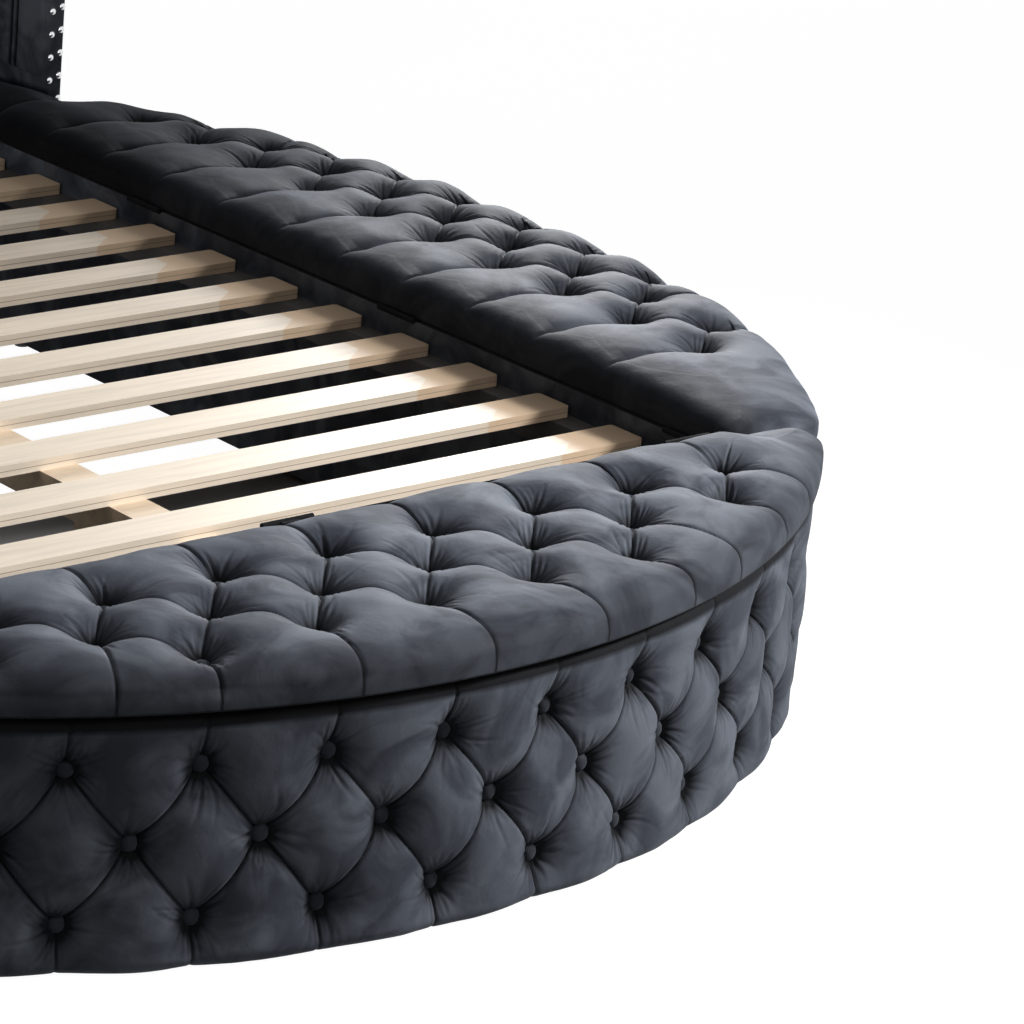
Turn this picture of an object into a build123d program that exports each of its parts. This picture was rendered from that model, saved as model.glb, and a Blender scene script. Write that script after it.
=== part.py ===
from build123d import *
import math
import os

# Round storage bed: a slatted mattress well inside three upholstered storage
# benches with lift-up tufted lids, closed at the head by a winged headboard.
# Lengths are millimetres. +X is the right side seen from the foot, +Y points
# to the head, and z = 0 is the floor under the middle of the whole bed.
os.makedirs("parts", exist_ok=True)

# Mattress well
well_width = 1542
well_length = 2050

# Plan of the round base, drawn on the outer edge of the lids
plan_radius = 1210
plan_straight = 280
plan_foot_depth = 440
tail_half_width = 900

# Heights above the floor
glide_height = 8
cover_foot = 6
bottom_board_height = 40
slat_top = 303
wall_top = 325
lid_top = 391
band_top = 380
headboard_height = 1473

# Boards and padding
bent_ply = 12
panel_ply = 18
bottom_ply = 9
lid_ply = 12
lining = 2
corner_block_width = 110
wall_padding = 32
lid_overhang = 18
fit_gap = 0.3
overrun = 30

# Lids
side_lid_reveal = 2
foot_lid_reveal = 4
lid_end_gap = 10
lid_head_gap = 4
board_inset = 6
lid_corner = 42
lid_crown = 38
tail_blend = 90

# Deep buttons and the sewn folds between them
button_radius = 12
button_rim = 4
button_dome = 3
button_dome_radius = 7
dimple_play = 1
lid_dimple_depth = 38
lid_dimple_mouth = 40
wall_dimple_depth = 24
wall_dimple_mouth = 34
fold_half_width = 13
fold_depth = 12

# Diamond pattern of the foot lid
foot_tuft_pitch = 166
foot_row_gap = 93
foot_row_share = 0.25
foot_tuft_shift = -30
foot_rows_half = 4
foot_short_row_half = 2

# Diamond pattern of the side lids
side_tuft_pitch = 148
side_column_first = 966
side_column_gap = 92
side_tuft_middle = 179
side_edge_margin = 44
side_column_shares = ((-4.5, 5.5), (-4, 4), (-2.5, 2.5))

# Diamond pattern of the bench walls
wall_tuft_pitch = 161
wall_row_low = 62
wall_row_middle = 160
wall_row_top = 254
wall_side_columns = 12

# Slats and what carries them
slat_count = 13
slat_width = 66
slat_thickness = 16
slat_pitch = 153
slat_first_gap = 23
slat_end_play = 5
slat_corner = 6
cleat_size = 40
rail_width = 60
rail_height = 45
leg_size = 45
leg_spread_share = 0.31
bracket_plate = 2.5
bracket_length = 32

# Lid hinges
hinge_length = 80
hinge_leaf = 1.9
hinge_leaf_gap = 0.2
hinge_leaf_width = 30
hinge_box_leaf_width = 20
barrel_radius = 4
pin_radius = 2
pin_clearance = 0.05
knuckle_gap = 0.4
side_hinge_count = 4
foot_hinge_count = 3
foot_pivot_height = 368
foot_leaf_drop = 78
hinge_share = 0.36

# Headboard and its wings
headboard_half_width = 975
wing_thickness = 36
wing_depth = 200
wing_ply = 18
wing_padding = 9
wing_corner = 120
core_ply = 25
headboard_padding = 45
band_padding = 33
back_cloth = 1.5
headboard_edge = 15
headboard_columns = 10
headboard_row_gap = 105
headboard_row_first = 520
headboard_row_count = 9
headboard_dimple_depth = 30
headboard_dimple_mouth = 36

# Nails, bolts and glides
nail_radius = 6
nail_dome = 3.5
nail_spacing = 39
nail_column_gap = 21
nail_low = 60
bolt_radius = 4
bolt_head_radius = 10
bolt_head = 5
bolt_play = 0.25
bolt_heights_share = (0.35, 0.75)
glide_radius = 12
wall_glide_shares = (-1.4, -1.08, -0.72, -0.48, -0.24, 0, 0.24, 0.48, 0.72, 1.08, 1.4)

# Places worked out from the sizes above; the whole bed is centred on x = y = 0
well_half = well_width / 2
well_front = plan_radius - plan_foot_depth
head_depth = well_length - well_front
total_length = plan_radius + head_depth + headboard_padding + core_ply + back_cloth
arc_y = plan_radius - total_length / 2
foot_y = arc_y - well_front
head_y = foot_y + well_length
core_y = head_y + headboard_padding
back_y = core_y + core_ply
band_y = core_y - band_padding
straight_y = arc_y + plan_straight
joint_y = foot_y - lining
lid_underside = wall_top + 2 * hinge_leaf + hinge_leaf_gap
slat_underside = slat_top - slat_thickness
wall_outer = lid_overhang + wall_padding
wall_inner = wall_outer + bent_ply
bottom_top = bottom_board_height + bottom_ply
foot_lid_y = foot_y - foot_lid_reveal
side_lid_y = foot_lid_y + lid_end_gap
side_lid_x = well_half + side_lid_reveal
inner_panel_x = well_half + lining + panel_ply
sides = {"left": -1, "right": 1}


# Round outline of the base at a distance inside the lids' edge: two half
# circles joined by a short straight, with a narrower tail beside the wings
def draw_plan(inset, mode=Mode.ADD):
    radius = plan_radius - inset
    with Locations((0, arc_y), (0, straight_y)):
        Circle(radius, mode=mode)
    with Locations((0, (arc_y + straight_y) / 2)):
        Rectangle(2 * radius, plan_straight, mode=mode)
    with Locations((0, (straight_y + core_y) / 2)):
        Rectangle(2 * (tail_half_width - inset), core_y - straight_y, mode=mode)


# Keeps the part of a plan between two x values, on one side, and two y values
def keep_region(side, x_near, x_far, y_near, y_far):
    with Locations((side * (x_near + x_far) / 2, (y_near + y_far) / 2)):
        Rectangle(x_far - x_near, y_far - y_near, mode=Mode.INTERSECT)


def keep_foot(y_far):
    keep_region(1, -plan_radius, plan_radius, arc_y - plan_radius - overrun, y_far)


# A board that fills a rectangle of the plan between two heights
def board(x_near, x_far, y_near, y_far, z_low, z_high, mode=Mode.ADD):
    centre = ((x_near + x_far) / 2, (y_near + y_far) / 2, (z_low + z_high) / 2)
    with Locations(centre):
        Box(abs(x_far - x_near), y_far - y_near, z_high - z_low, mode=mode)


# Point and outward direction at a distance along the outline from the foot's
# middle; a negative distance runs to the left
def outline_place(distance, height, inset):
    radius = plan_radius - inset
    side = -1 if distance < 0 else 1
    quarter = radius * math.pi / 2
    run = abs(distance)
    if run <= quarter:
        turn = run / radius
        normal = Vector(side * math.sin(turn), -math.cos(turn), 0)
        middle_y = arc_y
    elif run <= quarter + plan_straight:
        normal = Vector(side, 0, 0)
        middle_y = arc_y + run - quarter
    else:
        turn = (run - quarter - plan_straight) / radius
        normal = Vector(side * math.cos(turn), math.sin(turn), 0)
        middle_y = straight_y
    return Vector(0, middle_y, height) + normal * radius, normal


# The sewn folds between buttons are V grooves, all of one run length
def cut_folds(runs):
    planes = [
        Plane(origin=start, x_dir=normal.cross(end - start), z_dir=end - start)
        for start, end, normal in runs
    ]
    length = max((end - start).length for start, end, normal in runs)
    widening = (fold_depth + overrun) / fold_depth
    with BuildSketch(*planes) as grooves:
        with BuildLine():
            Polyline(
                (0, -fold_depth),
                (fold_half_width * widening, overrun),
                (-fold_half_width * widening, overrun),
                close=True,
            )
        make_face()
    extrude(grooves.sketch, amount=length, mode=Mode.SUBTRACT)


# A dimple has a flat seat for its button and opens out to the surface
def cut_dimples(places, depth, mouth):
    seat = button_radius + dimple_play
    widening = (mouth - seat) / depth
    for_seats = [Plane(origin=point - normal * depth, z_dir=normal) for point, normal in places]
    with Locations(*for_seats):
        Cone(
            seat,
            seat + widening * (depth + overrun),
            depth + overrun,
            align=(Align.CENTER, Align.CENTER, Align.MIN),
            mode=Mode.SUBTRACT,
        )


# Cloth-covered buttons, each a low rim under a shallow dome
def make_buttons(places, depth):
    seats = [Plane(origin=point - normal * depth, z_dir=normal) for point, normal in places]
    domes = [seat.offset(button_rim) for seat in seats]
    with Locations(*seats):
        Cylinder(button_radius, button_rim, align=(Align.CENTER, Align.CENTER, Align.MIN))
    with Locations(*domes):
        Cone(
            button_radius,
            button_dome_radius,
            button_dome,
            align=(Align.CENTER, Align.CENTER, Align.MIN),
        )


def save(part, name):
    part.label = name
    export_step(part, f"parts/{name}.step")


# Bench walls: thin plywood bent round the outline, standing on the glides
def make_outer_wall(name, side):
    with BuildPart() as wall:
        with BuildSketch(Plane.XY.offset(glide_height)):
            draw_plan(wall_outer)
            draw_plan(wall_inner, Mode.SUBTRACT)
            if side == 0:
                keep_foot(joint_y)
            else:
                keep_region(side, well_half, plan_radius, joint_y, band_y)
        extrude(amount=wall_top - glide_height)
    save(wall.part, name)


# Straight boards between the benches and the mattress well
def make_inner_walls():
    for name, side in sides.items():
        with BuildPart() as wall:
            board(
                side * (well_half + lining),
                side * inner_panel_x,
                joint_y,
                band_y,
                glide_height,
                wall_top,
            )
        save(wall.part, f"{name}_inner_wall")
    with BuildPart() as foot_wall:
        with BuildSketch(Plane.XY.offset(glide_height)):
            draw_plan(wall_inner + fit_gap)
            keep_foot(joint_y)
            keep_region(1, -plan_radius, plan_radius, joint_y - panel_ply, joint_y)
        extrude(amount=wall_top - glide_height)
    save(foot_wall.part, "foot_inner_wall")


# Plain velvet on the three sides of the well that face the mattress
def make_linings():
    with BuildPart() as linings:
        for side in sides.values():
            board(
                side * well_half,
                side * (well_half + lining),
                joint_y,
                band_y,
                glide_height,
                wall_top,
            )
        board(-well_half, well_half, joint_y, foot_y, glide_height, wall_top)
    save(linings.part, "inner_wall_linings")


# Each side bench is closed by an end panel at the foot and one at the head
def make_end_panels():
    with BuildPart() as panels:
        with BuildSketch(Plane.XY.offset(bottom_top)):
            draw_plan(wall_inner + fit_gap)
            keep_region(1, -plan_radius, plan_radius, joint_y, band_y)
            with Locations((0, (joint_y + band_y) / 2)):
                Rectangle(2 * inner_panel_x, band_y - joint_y, mode=Mode.SUBTRACT)
                Rectangle(2 * plan_radius, band_y - joint_y - 2 * panel_ply, mode=Mode.SUBTRACT)
        extrude(amount=wall_top - bottom_top)
        with Locations(*bolt_planes(band_y)):
            Hole(bolt_radius + bolt_play, panel_ply)
    save(panels.part, "bench_end_panels")


# Solid blocks in the two sharp corners of the foot bench
def make_corner_blocks():
    reach = math.sqrt((plan_radius - wall_inner) ** 2 - (arc_y - joint_y) ** 2)
    with BuildPart() as blocks:
        with BuildSketch(Plane.XY.offset(bottom_top)):
            draw_plan(wall_inner + fit_gap)
            keep_foot(joint_y - panel_ply)
            with Locations((0, joint_y - plan_radius)):
                Rectangle(2 * (reach - corner_block_width), 2 * plan_radius, mode=Mode.SUBTRACT)
        extrude(amount=wall_top - bottom_top)
    save(blocks.part, "foot_corner_blocks")


# Thin boards that close the storage spaces below
def make_bottom_boards():
    with BuildPart() as foot_board:
        with BuildSketch(Plane.XY.offset(bottom_board_height)):
            draw_plan(wall_inner + fit_gap)
            keep_foot(joint_y - panel_ply)
        extrude(amount=bottom_ply)
    save(foot_board.part, "foot_bottom_board")
    for name, side in sides.items():
        with BuildPart() as side_board:
            with BuildSketch(Plane.XY.offset(bottom_board_height)):
                draw_plan(wall_inner + fit_gap)
                keep_region(side, inner_panel_x, plan_radius, joint_y, band_y)
            extrude(amount=bottom_ply)
        save(side_board.part, f"{name}_bottom_board")


# Buttons on a bench wall stand in three rows; the middle row is half a pitch out
def foot_wall_rows():
    half_count = int((plan_radius - lid_overhang) / wall_tuft_pitch)
    middle = [step * wall_tuft_pitch for step in range(1 - half_count, half_count)]
    outer = [
        (step + 1 / 2) * wall_tuft_pitch
        for step in range(1 - half_count, half_count - 1)
    ]
    return middle, outer


def side_wall_start():
    radius = plan_radius - lid_overhang
    return radius * math.acos((arc_y - joint_y) / radius)


def side_wall_rows():
    radius = plan_radius - lid_overhang
    tail_turn = math.acos((tail_half_width - lid_overhang) / radius)
    end = radius * (math.pi / 2 + tail_turn) + plan_straight
    start = side_wall_start()
    pitch = (end - start) / wall_side_columns
    middle = [start + (step + 1 / 2) * pitch for step in range(wall_side_columns)]
    outer = [start + step * pitch for step in range(1, wall_side_columns)]
    return middle, outer


def wall_places(middle, outer, side):
    rows = ((outer, wall_row_top), (middle, wall_row_middle), (outer, wall_row_low))
    return [outline_place(side * s, z, lid_overhang) for row, z in rows for s in row]


def wall_folds(middle, outer, side, row_height):
    pitch = abs(middle[1] - middle[0])
    runs = []
    for s in middle:
        start, start_normal = outline_place(side * s, wall_row_middle, lid_overhang)
        for other in outer:
            if abs(other - s) < pitch:
                end, end_normal = outline_place(side * other, row_height, lid_overhang)
                runs.append((start, end, (start_normal + end_normal).normalized()))
    return runs


def wall_pleats(outer, side, row_height, end_height):
    runs = []
    for s in outer:
        start, normal = outline_place(side * s, row_height, lid_overhang)
        end, normal = outline_place(side * s, end_height, lid_overhang)
        runs.append((start, end, normal))
    return runs


# Foam and velvet over a bench wall, drawn in at the buttons and along the folds
def make_wall_cover(name, side, middle, outer):
    with BuildPart() as cover:
        with BuildSketch(Plane.XY.offset(cover_foot)):
            draw_plan(lid_overhang)
            draw_plan(wall_outer - fit_gap, Mode.SUBTRACT)
            if side == 0:
                keep_foot(joint_y)
            else:
                keep_region(side, well_half, plan_radius, joint_y, band_y)
        extrude(amount=wall_top - cover_foot)
        mirror_side = side if side else 1
        cut_folds(wall_folds(middle, outer, mirror_side, wall_row_top))
        cut_folds(wall_folds(middle, outer, mirror_side, wall_row_low))
        cut_folds(wall_pleats(outer, mirror_side, wall_row_top, wall_top + overrun))
        cut_folds(wall_pleats(outer, mirror_side, wall_row_low, -overrun))
        cut_dimples(
            wall_places(middle, outer, mirror_side), wall_dimple_depth, wall_dimple_mouth
        )
    save(cover.part, name)


def make_wall_buttons():
    places = wall_places(*foot_wall_rows(), 1)
    for side in sides.values():
        places += wall_places(*side_wall_rows(), side)
    with BuildPart() as buttons:
        make_buttons(places, wall_dimple_depth)
    save(buttons.part, "wall_buttons")


# Tuft places of the foot lid: three rows, the middle one half a pitch out
def foot_lid_rows():
    first = foot_lid_y - foot_row_share * plan_foot_depth
    row_y = [first, first - foot_row_gap, first - 2 * foot_row_gap]
    long_row = range(-foot_rows_half, foot_rows_half + 1)
    middle_row = range(-foot_rows_half, foot_rows_half)
    short_row = range(-foot_short_row_half, foot_short_row_half + 1)
    return (
        [(foot_tuft_shift + foot_tuft_pitch * step, row_y[0]) for step in long_row],
        [(foot_tuft_shift + foot_tuft_pitch * (step + 1 / 2), row_y[1]) for step in middle_row],
        [(foot_tuft_shift + foot_tuft_pitch * step, row_y[2]) for step in short_row],
    )


# Half the width of the plan at a distance inside the lids' edge
def half_width_at(y, inset):
    radius = plan_radius - inset
    beyond = max(arc_y - y, y - straight_y, 0)
    return math.sqrt(radius**2 - beyond**2)


# Tuft places of a side lid: three columns, the middle one half a pitch out,
# kept off the lid's rounded edge
def side_lid_columns(side):
    columns = []
    for index, (first_share, last_share) in enumerate(side_column_shares):
        column = []
        for step in range(int(last_share - first_share) + 1):
            y = arc_y + side_tuft_middle + (first_share + step) * side_tuft_pitch
            x = side_column_first + index * side_column_gap
            x = min(x, half_width_at(y, side_edge_margin))
            column.append((side * x, y))
        columns.append(column)
    return columns


# Joins each place of one row to the nearest places of the next
def diamond_runs(row, next_row, reach):
    up = Vector(0, 0, 1)
    return [
        (Vector(*start, lid_top), Vector(*end, lid_top), up)
        for start in row
        for end in next_row
        if math.hypot(end[0] - start[0], end[1] - start[1]) < reach
    ]


# Pleats run straight from the outer tufts over the lid's edge
def edge_runs(row, direction, length):
    up = Vector(0, 0, 1)
    return [
        (Vector(*start, lid_top), Vector(*start, lid_top) + direction(start) * length, up)
        for start in row
    ]


def outward(place):
    x, y = place
    middle_y = min(max(y, arc_y), straight_y)
    return Vector(x, y - middle_y, 0).normalized()


def draw_foot_lid(sketch, inset):
    draw_plan(inset)
    keep_foot(foot_lid_y - inset)
    corners = sketch.vertices().sort_by(Axis.Y)
    fillet(corners[-2:], lid_corner - inset)


def draw_side_lid(sketch, side, inset):
    draw_plan(inset)
    keep_region(
        side,
        side_lid_x + inset,
        plan_radius,
        side_lid_y + inset,
        head_y - lid_head_gap - inset,
    )
    corners = sketch.vertices().sort_by(Axis.Y)
    fillet(corners[:2] + corners[-2:], lid_corner - inset)
    kink = tail_half_width - inset
    waist = [corner for corner in sketch.vertices() if abs(abs(corner.X) - kink) < fit_gap]
    fillet(sorted(waist, key=lambda corner: corner.Y)[:1], tail_blend)


# A padded lid: foam and velvet wrapped round its board, crowned at the edges
def make_lid(name, draw, places, diamonds, pleats):
    with BuildPart() as cushion:
        with BuildSketch(Plane.XY.offset(lid_underside)) as plan:
            draw(plan, 0)
        extrude(amount=lid_top - lid_underside)
        fillet(cushion.edges().group_by(Axis.Z)[-1], lid_crown)
        with BuildSketch(Plane.XY.offset(lid_underside)) as board_plan:
            draw(board_plan, board_inset)
        extrude(amount=lid_ply, mode=Mode.SUBTRACT)
        for runs in diamonds:
            cut_folds(runs)
        for runs in pleats:
            cut_folds(runs)
        cut_dimples(places, lid_dimple_depth, lid_dimple_mouth)
    save(cushion.part, f"{name}_lid_cushion")
    with BuildPart() as lid_board:
        with BuildSketch(Plane.XY.offset(lid_underside)) as board_plan:
            draw(board_plan, board_inset)
        extrude(amount=lid_ply)
    save(lid_board.part, f"{name}_lid_board")
    with BuildPart() as buttons:
        make_buttons(places, lid_dimple_depth)
    save(buttons.part, f"{name}_lid_buttons")


def lid_places(rows):
    up = Vector(0, 0, 1)
    return [(Vector(*place, lid_top), up) for row in rows for place in row]


def make_foot_lid():
    rows = foot_lid_rows()
    diamonds = [
        diamond_runs(rows[0], rows[1], foot_tuft_pitch),
        diamond_runs(rows[1], rows[2], foot_tuft_pitch),
    ]
    toward_well = Vector(0, 1, 0)
    outer_row = rows[2] + [p for p in rows[1] if abs(p[0]) > foot_tuft_pitch * foot_short_row_half]
    pleats = [
        edge_runs(rows[0], lambda place: toward_well, plan_foot_depth / 2),
        edge_runs(outer_row, outward, plan_foot_depth / 2),
        edge_runs([rows[0][0], rows[0][-1]], outward, plan_foot_depth),
    ]
    make_lid("foot", draw_foot_lid, lid_places(rows), diamonds, pleats)


def make_side_lids():
    for name, side in sides.items():
        columns = side_lid_columns(side)
        diamonds = [
            diamond_runs([start], next_column, side_tuft_pitch)
            for column, next_column in zip(columns, columns[1:])
            for start in column
            if diamond_runs([start], next_column, side_tuft_pitch)
        ]
        toward_well = Vector(-side, 0, 0)
        inner_column, middle_column, outer_column = columns
        reach = max(abs(y - arc_y - side_tuft_middle) for x, y in outer_column)
        edge_row = outer_column + [
            place
            for place in middle_column
            if abs(place[1] - arc_y - side_tuft_middle) > reach
        ]
        pleats = [
            edge_runs(inner_column, lambda place: toward_well, plan_foot_depth),
            edge_runs(edge_row, outward, plan_foot_depth / 2),
        ]
        make_lid(
            name,
            lambda sketch, inset, side=side: draw_side_lid(sketch, side, inset),
            lid_places(columns),
            diamonds,
            pleats,
        )


# Pine slats laid across the well
def make_slats():
    slat_length = well_width - 2 * slat_end_play
    for index in range(slat_count):
        y = foot_y + slat_first_gap + slat_width / 2 + index * slat_pitch
        with BuildPart() as slat:
            with BuildSketch(Plane.XY.offset(slat_underside)):
                with Locations((0, y)):
                    RectangleRounded(slat_length, slat_width, slat_corner)
            extrude(amount=slat_thickness)
        save(slat.part, f"slat_{index + 1:02d}")


# Battens on the side linings that carry the slats' ends
def make_cleats():
    for name, side in sides.items():
        with BuildPart() as cleat:
            board(
                side * (well_half - cleat_size),
                side * well_half,
                foot_y,
                band_y,
                slat_underside - cleat_size,
                slat_underside,
            )
        save(cleat.part, f"{name}_slat_cleat")


# Middle rail under the slats, hung in a steel saddle at each end
def make_centre_rail():
    with BuildPart() as rail:
        board(
            -rail_width / 2,
            rail_width / 2,
            foot_y + bracket_plate,
            band_y - bracket_plate,
            slat_underside - rail_height,
            slat_underside,
        )
    save(rail.part, "centre_rail")
    with BuildPart() as brackets:
        for y_plate, y_inside in ((foot_y, foot_y + bracket_length), (band_y, band_y - bracket_length)):
            y_near, y_far = sorted((y_plate, y_inside))
            half = rail_width / 2 + fit_gap
            low = slat_underside - rail_height
            board(-half - bracket_plate, half + bracket_plate, y_near, y_far,
                  low - bracket_plate, slat_underside - bracket_plate)
            board(-half, half, y_near, y_far, low, slat_underside, Mode.SUBTRACT)
        for y_near in (foot_y, band_y - bracket_plate):
            board(
                -rail_width / 2 - bracket_plate,
                rail_width / 2 + bracket_plate,
                y_near,
                y_near + bracket_plate,
                slat_underside - rail_height - bracket_plate,
                slat_underside - bracket_plate,
            )
    save(brackets.part, "rail_brackets")


def leg_places():
    middle = (foot_y + head_y) / 2
    return [middle + step * leg_spread_share * well_length for step in (-1, 0, 1)]


def make_centre_legs():
    with BuildPart() as legs:
        for y in leg_places():
            board(
                -leg_size / 2,
                leg_size / 2,
                y - leg_size / 2,
                y + leg_size / 2,
                glide_height,
                slat_underside - rail_height,
            )
    save(legs.part, "centre_legs")


# Plastic glides under the walls, the middle legs and the headboard
def make_glides():
    inset = wall_outer + glide_radius
    quarter = (plan_radius - inset) * math.pi / 2
    spots = [outline_place(share * quarter, 0, inset)[0] for share in wall_glide_shares]
    for y in leg_places():
        spots.append(Vector(0, y, 0))
        for side in sides.values():
            spots.append(Vector(side * (inner_panel_x - panel_ply / 2), y, 0))
    for side in sides.values():
        spots.append(Vector(side * (headboard_half_width - wing_thickness), back_y - core_ply / 2, 0))
        spots.append(Vector(side * well_half / 2, joint_y - panel_ply / 2, 0))
    with BuildPart() as glides:
        with Locations(*spots):
            Cylinder(glide_radius, glide_height, align=(Align.CENTER, Align.CENTER, Align.MIN))
    save(glides.part, "floor_glides")


# Hinges: three knuckles on a pin, the outer two on the fixed leaf
def hinge_middles(start, end, count):
    span = (end - start) * (1 - hinge_share / count)
    first = (start + end - span) / 2
    return [first + span * index / (count - 1) for index in range(count)]


def side_hinge_middles():
    return hinge_middles(side_lid_y, head_y - lid_head_gap, side_hinge_count)


def foot_hinge_middles():
    return hinge_middles(-well_half, well_half, foot_hinge_count)


def knuckle_spans():
    knuckle = hinge_length / 3
    return (
        (-hinge_length / 2, -knuckle / 2 - knuckle_gap),
        (-knuckle / 2, knuckle / 2),
        (knuckle / 2 + knuckle_gap, hinge_length / 2),
    )


side_pivot_x = well_half - barrel_radius - fit_gap
side_pivot_z = wall_top + hinge_leaf + hinge_leaf_gap / 2
foot_pivot_y = foot_y + barrel_radius + fit_gap
foot_pivot_z = foot_pivot_height


# A knuckle tube with its axis along Y or X
def knuckle_y(x, y_near, y_far, z):
    with BuildSketch(Plane(origin=(x, y_near, z), x_dir=(1, 0, 0), z_dir=(0, 1, 0))) as ring:
        Circle(barrel_radius)
    extrude(ring.sketch, amount=y_far - y_near)


def knuckle_x(x_near, x_far, y, z):
    with BuildSketch(Plane(origin=(x_near, y, z), x_dir=(0, 1, 0), z_dir=(1, 0, 0))) as ring:
        Circle(barrel_radius)
    extrude(ring.sketch, amount=x_far - x_near)


def bore_y(x, y_middle, z):
    with Locations(Location((x, y_middle, z), (90, 0, 0))):
        Cylinder(pin_radius + pin_clearance, hinge_length + overrun, mode=Mode.SUBTRACT)


def bore_x(x_middle, y, z):
    with Locations(Location((x_middle, y, z), (0, 90, 0))):
        Cylinder(pin_radius + pin_clearance, hinge_length + overrun, mode=Mode.SUBTRACT)


# Side hinges lie flat between the bench wall and the lid
def side_box_leaves(side):
    clear = barrel_radius + knuckle_gap
    leaf_far = side_pivot_x + barrel_radius + hinge_box_leaf_width
    for middle in side_hinge_middles():
        low, mid, high = knuckle_spans()
        for near, far in (low, high):
            board(side * side_pivot_x, side * leaf_far, middle + near, middle + far,
                  wall_top, wall_top + hinge_leaf)
            knuckle_y(side * side_pivot_x, middle + near, middle + far, side_pivot_z)
        board(side * (side_pivot_x + clear), side * leaf_far, middle + low[0], middle + high[1],
              wall_top, wall_top + hinge_leaf)
        bore_y(side * side_pivot_x, middle, side_pivot_z)


def side_lid_leaves(side):
    clear = barrel_radius + knuckle_gap
    leaf_far = side_pivot_x + barrel_radius + hinge_leaf_width
    for middle in side_hinge_middles():
        low, mid, high = knuckle_spans()
        board(side * side_pivot_x, side * leaf_far, middle + mid[0], middle + mid[1],
              lid_underside - hinge_leaf, lid_underside)
        knuckle_y(side * side_pivot_x, middle + mid[0], middle + mid[1], side_pivot_z)
        board(side * (side_pivot_x + clear), side * leaf_far, middle + low[0], middle + high[1],
              lid_underside - hinge_leaf, lid_underside)
        bore_y(side * side_pivot_x, middle, side_pivot_z)


# Foot hinges stand up the lid's inner face, so that the lid's ends clear the
# side lids as it opens
def foot_box_leaves():
    clear = barrel_radius + knuckle_gap
    foot_low = foot_pivot_z - foot_leaf_drop
    for middle in foot_hinge_middles():
        low, mid, high = knuckle_spans()
        for near, far in (low, high):
            board(middle + near, middle + far, foot_y, foot_y + hinge_leaf, foot_low, foot_pivot_z)
            knuckle_x(middle + near, middle + far, foot_pivot_y, foot_pivot_z)
        board(middle + low[0], middle + high[1], foot_y, foot_y + hinge_leaf,
              foot_low, foot_pivot_z - clear)
        bore_x(middle, foot_pivot_y, foot_pivot_z)


def foot_lid_leaves():
    web = barrel_radius / 2
    for middle in foot_hinge_middles():
        low, mid, high = knuckle_spans()
        board(middle + low[0], middle + high[1], foot_lid_y, foot_lid_y + hinge_leaf,
              lid_underside, foot_pivot_z)
        board(middle + mid[0], middle + mid[1], foot_lid_y, foot_pivot_y,
              foot_pivot_z - web, foot_pivot_z + web)
        knuckle_x(middle + mid[0], middle + mid[1], foot_pivot_y, foot_pivot_z)
        bore_x(middle, foot_pivot_y, foot_pivot_z)


def make_hinges():
    with BuildPart() as box_leaves:
        foot_box_leaves()
        for side in sides.values():
            side_box_leaves(side)
    save(box_leaves.part, "hinge_box_leaves")
    with BuildPart() as pins:
        for middle in foot_hinge_middles():
            with Locations(Location((middle, foot_pivot_y, foot_pivot_z), (0, 90, 0))):
                Cylinder(pin_radius, hinge_length)
        for side in sides.values():
            for middle in side_hinge_middles():
                with Locations(Location((side * side_pivot_x, middle, side_pivot_z), (90, 0, 0))):
                    Cylinder(pin_radius, hinge_length)
    save(pins.part, "hinge_pins")
    with BuildPart() as foot_leaves:
        foot_lid_leaves()
    save(foot_leaves.part, "foot_hinge_lid_leaves")
    for name, side in sides.items():
        with BuildPart() as lid_leaves:
            side_lid_leaves(side)
        save(lid_leaves.part, f"{name}_hinge_lid_leaves")


# Headboard bolts go through the core and the band into the side benches
def bolt_planes(y):
    x = (inner_panel_x + tail_half_width - wall_inner) / 2
    return [
        Plane(origin=(side * x, y, share * wall_top), x_dir=(1, 0, 0), z_dir=(0, 1, 0))
        for side in sides.values()
        for share in bolt_heights_share
    ]


def make_headboard_bolts():
    length = core_ply - bolt_head + band_padding + panel_ply
    with BuildPart() as bolts:
        with Locations(*bolt_planes(back_y - bolt_head)):
            Cylinder(bolt_head_radius, bolt_head, align=(Align.CENTER, Align.CENTER, Align.MIN))
            Cylinder(bolt_radius, length, align=(Align.CENTER, Align.CENTER, Align.MAX))
    save(bolts.part, "headboard_bolts")


def headboard_inner_half():
    return headboard_half_width - wing_thickness


def wing_board_half():
    return headboard_half_width - wing_padding - wing_ply


# Solid board behind the padding
def make_headboard_core():
    with BuildPart() as core:
        board(-wing_board_half(), wing_board_half(), core_y, back_y,
              glide_height, headboard_height - wing_padding)
        with Locations(*bolt_planes(back_y)):
            Cylinder(bolt_head_radius + bolt_play, 2 * bolt_head, mode=Mode.SUBTRACT)
            Cylinder(bolt_radius + bolt_play, 2 * core_ply + overrun, mode=Mode.SUBTRACT)
    save(core.part, "headboard_core")
    with BuildPart() as cloth:
        board(-wing_board_half(), wing_board_half(), back_y, back_y + back_cloth,
              glide_height, headboard_height - wing_padding)
    save(cloth.part, "headboard_back_cloth")


# Plain padded band below the tufted part, behind the mattress
def make_headboard_band():
    with BuildPart() as band:
        board(-headboard_inner_half(), headboard_inner_half(), band_y, core_y,
              glide_height, band_top)
        with Locations(*bolt_planes(core_y)):
            Cylinder(bolt_radius + bolt_play, 2 * band_padding + overrun, mode=Mode.SUBTRACT)
    save(band.part, "headboard_band")


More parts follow.
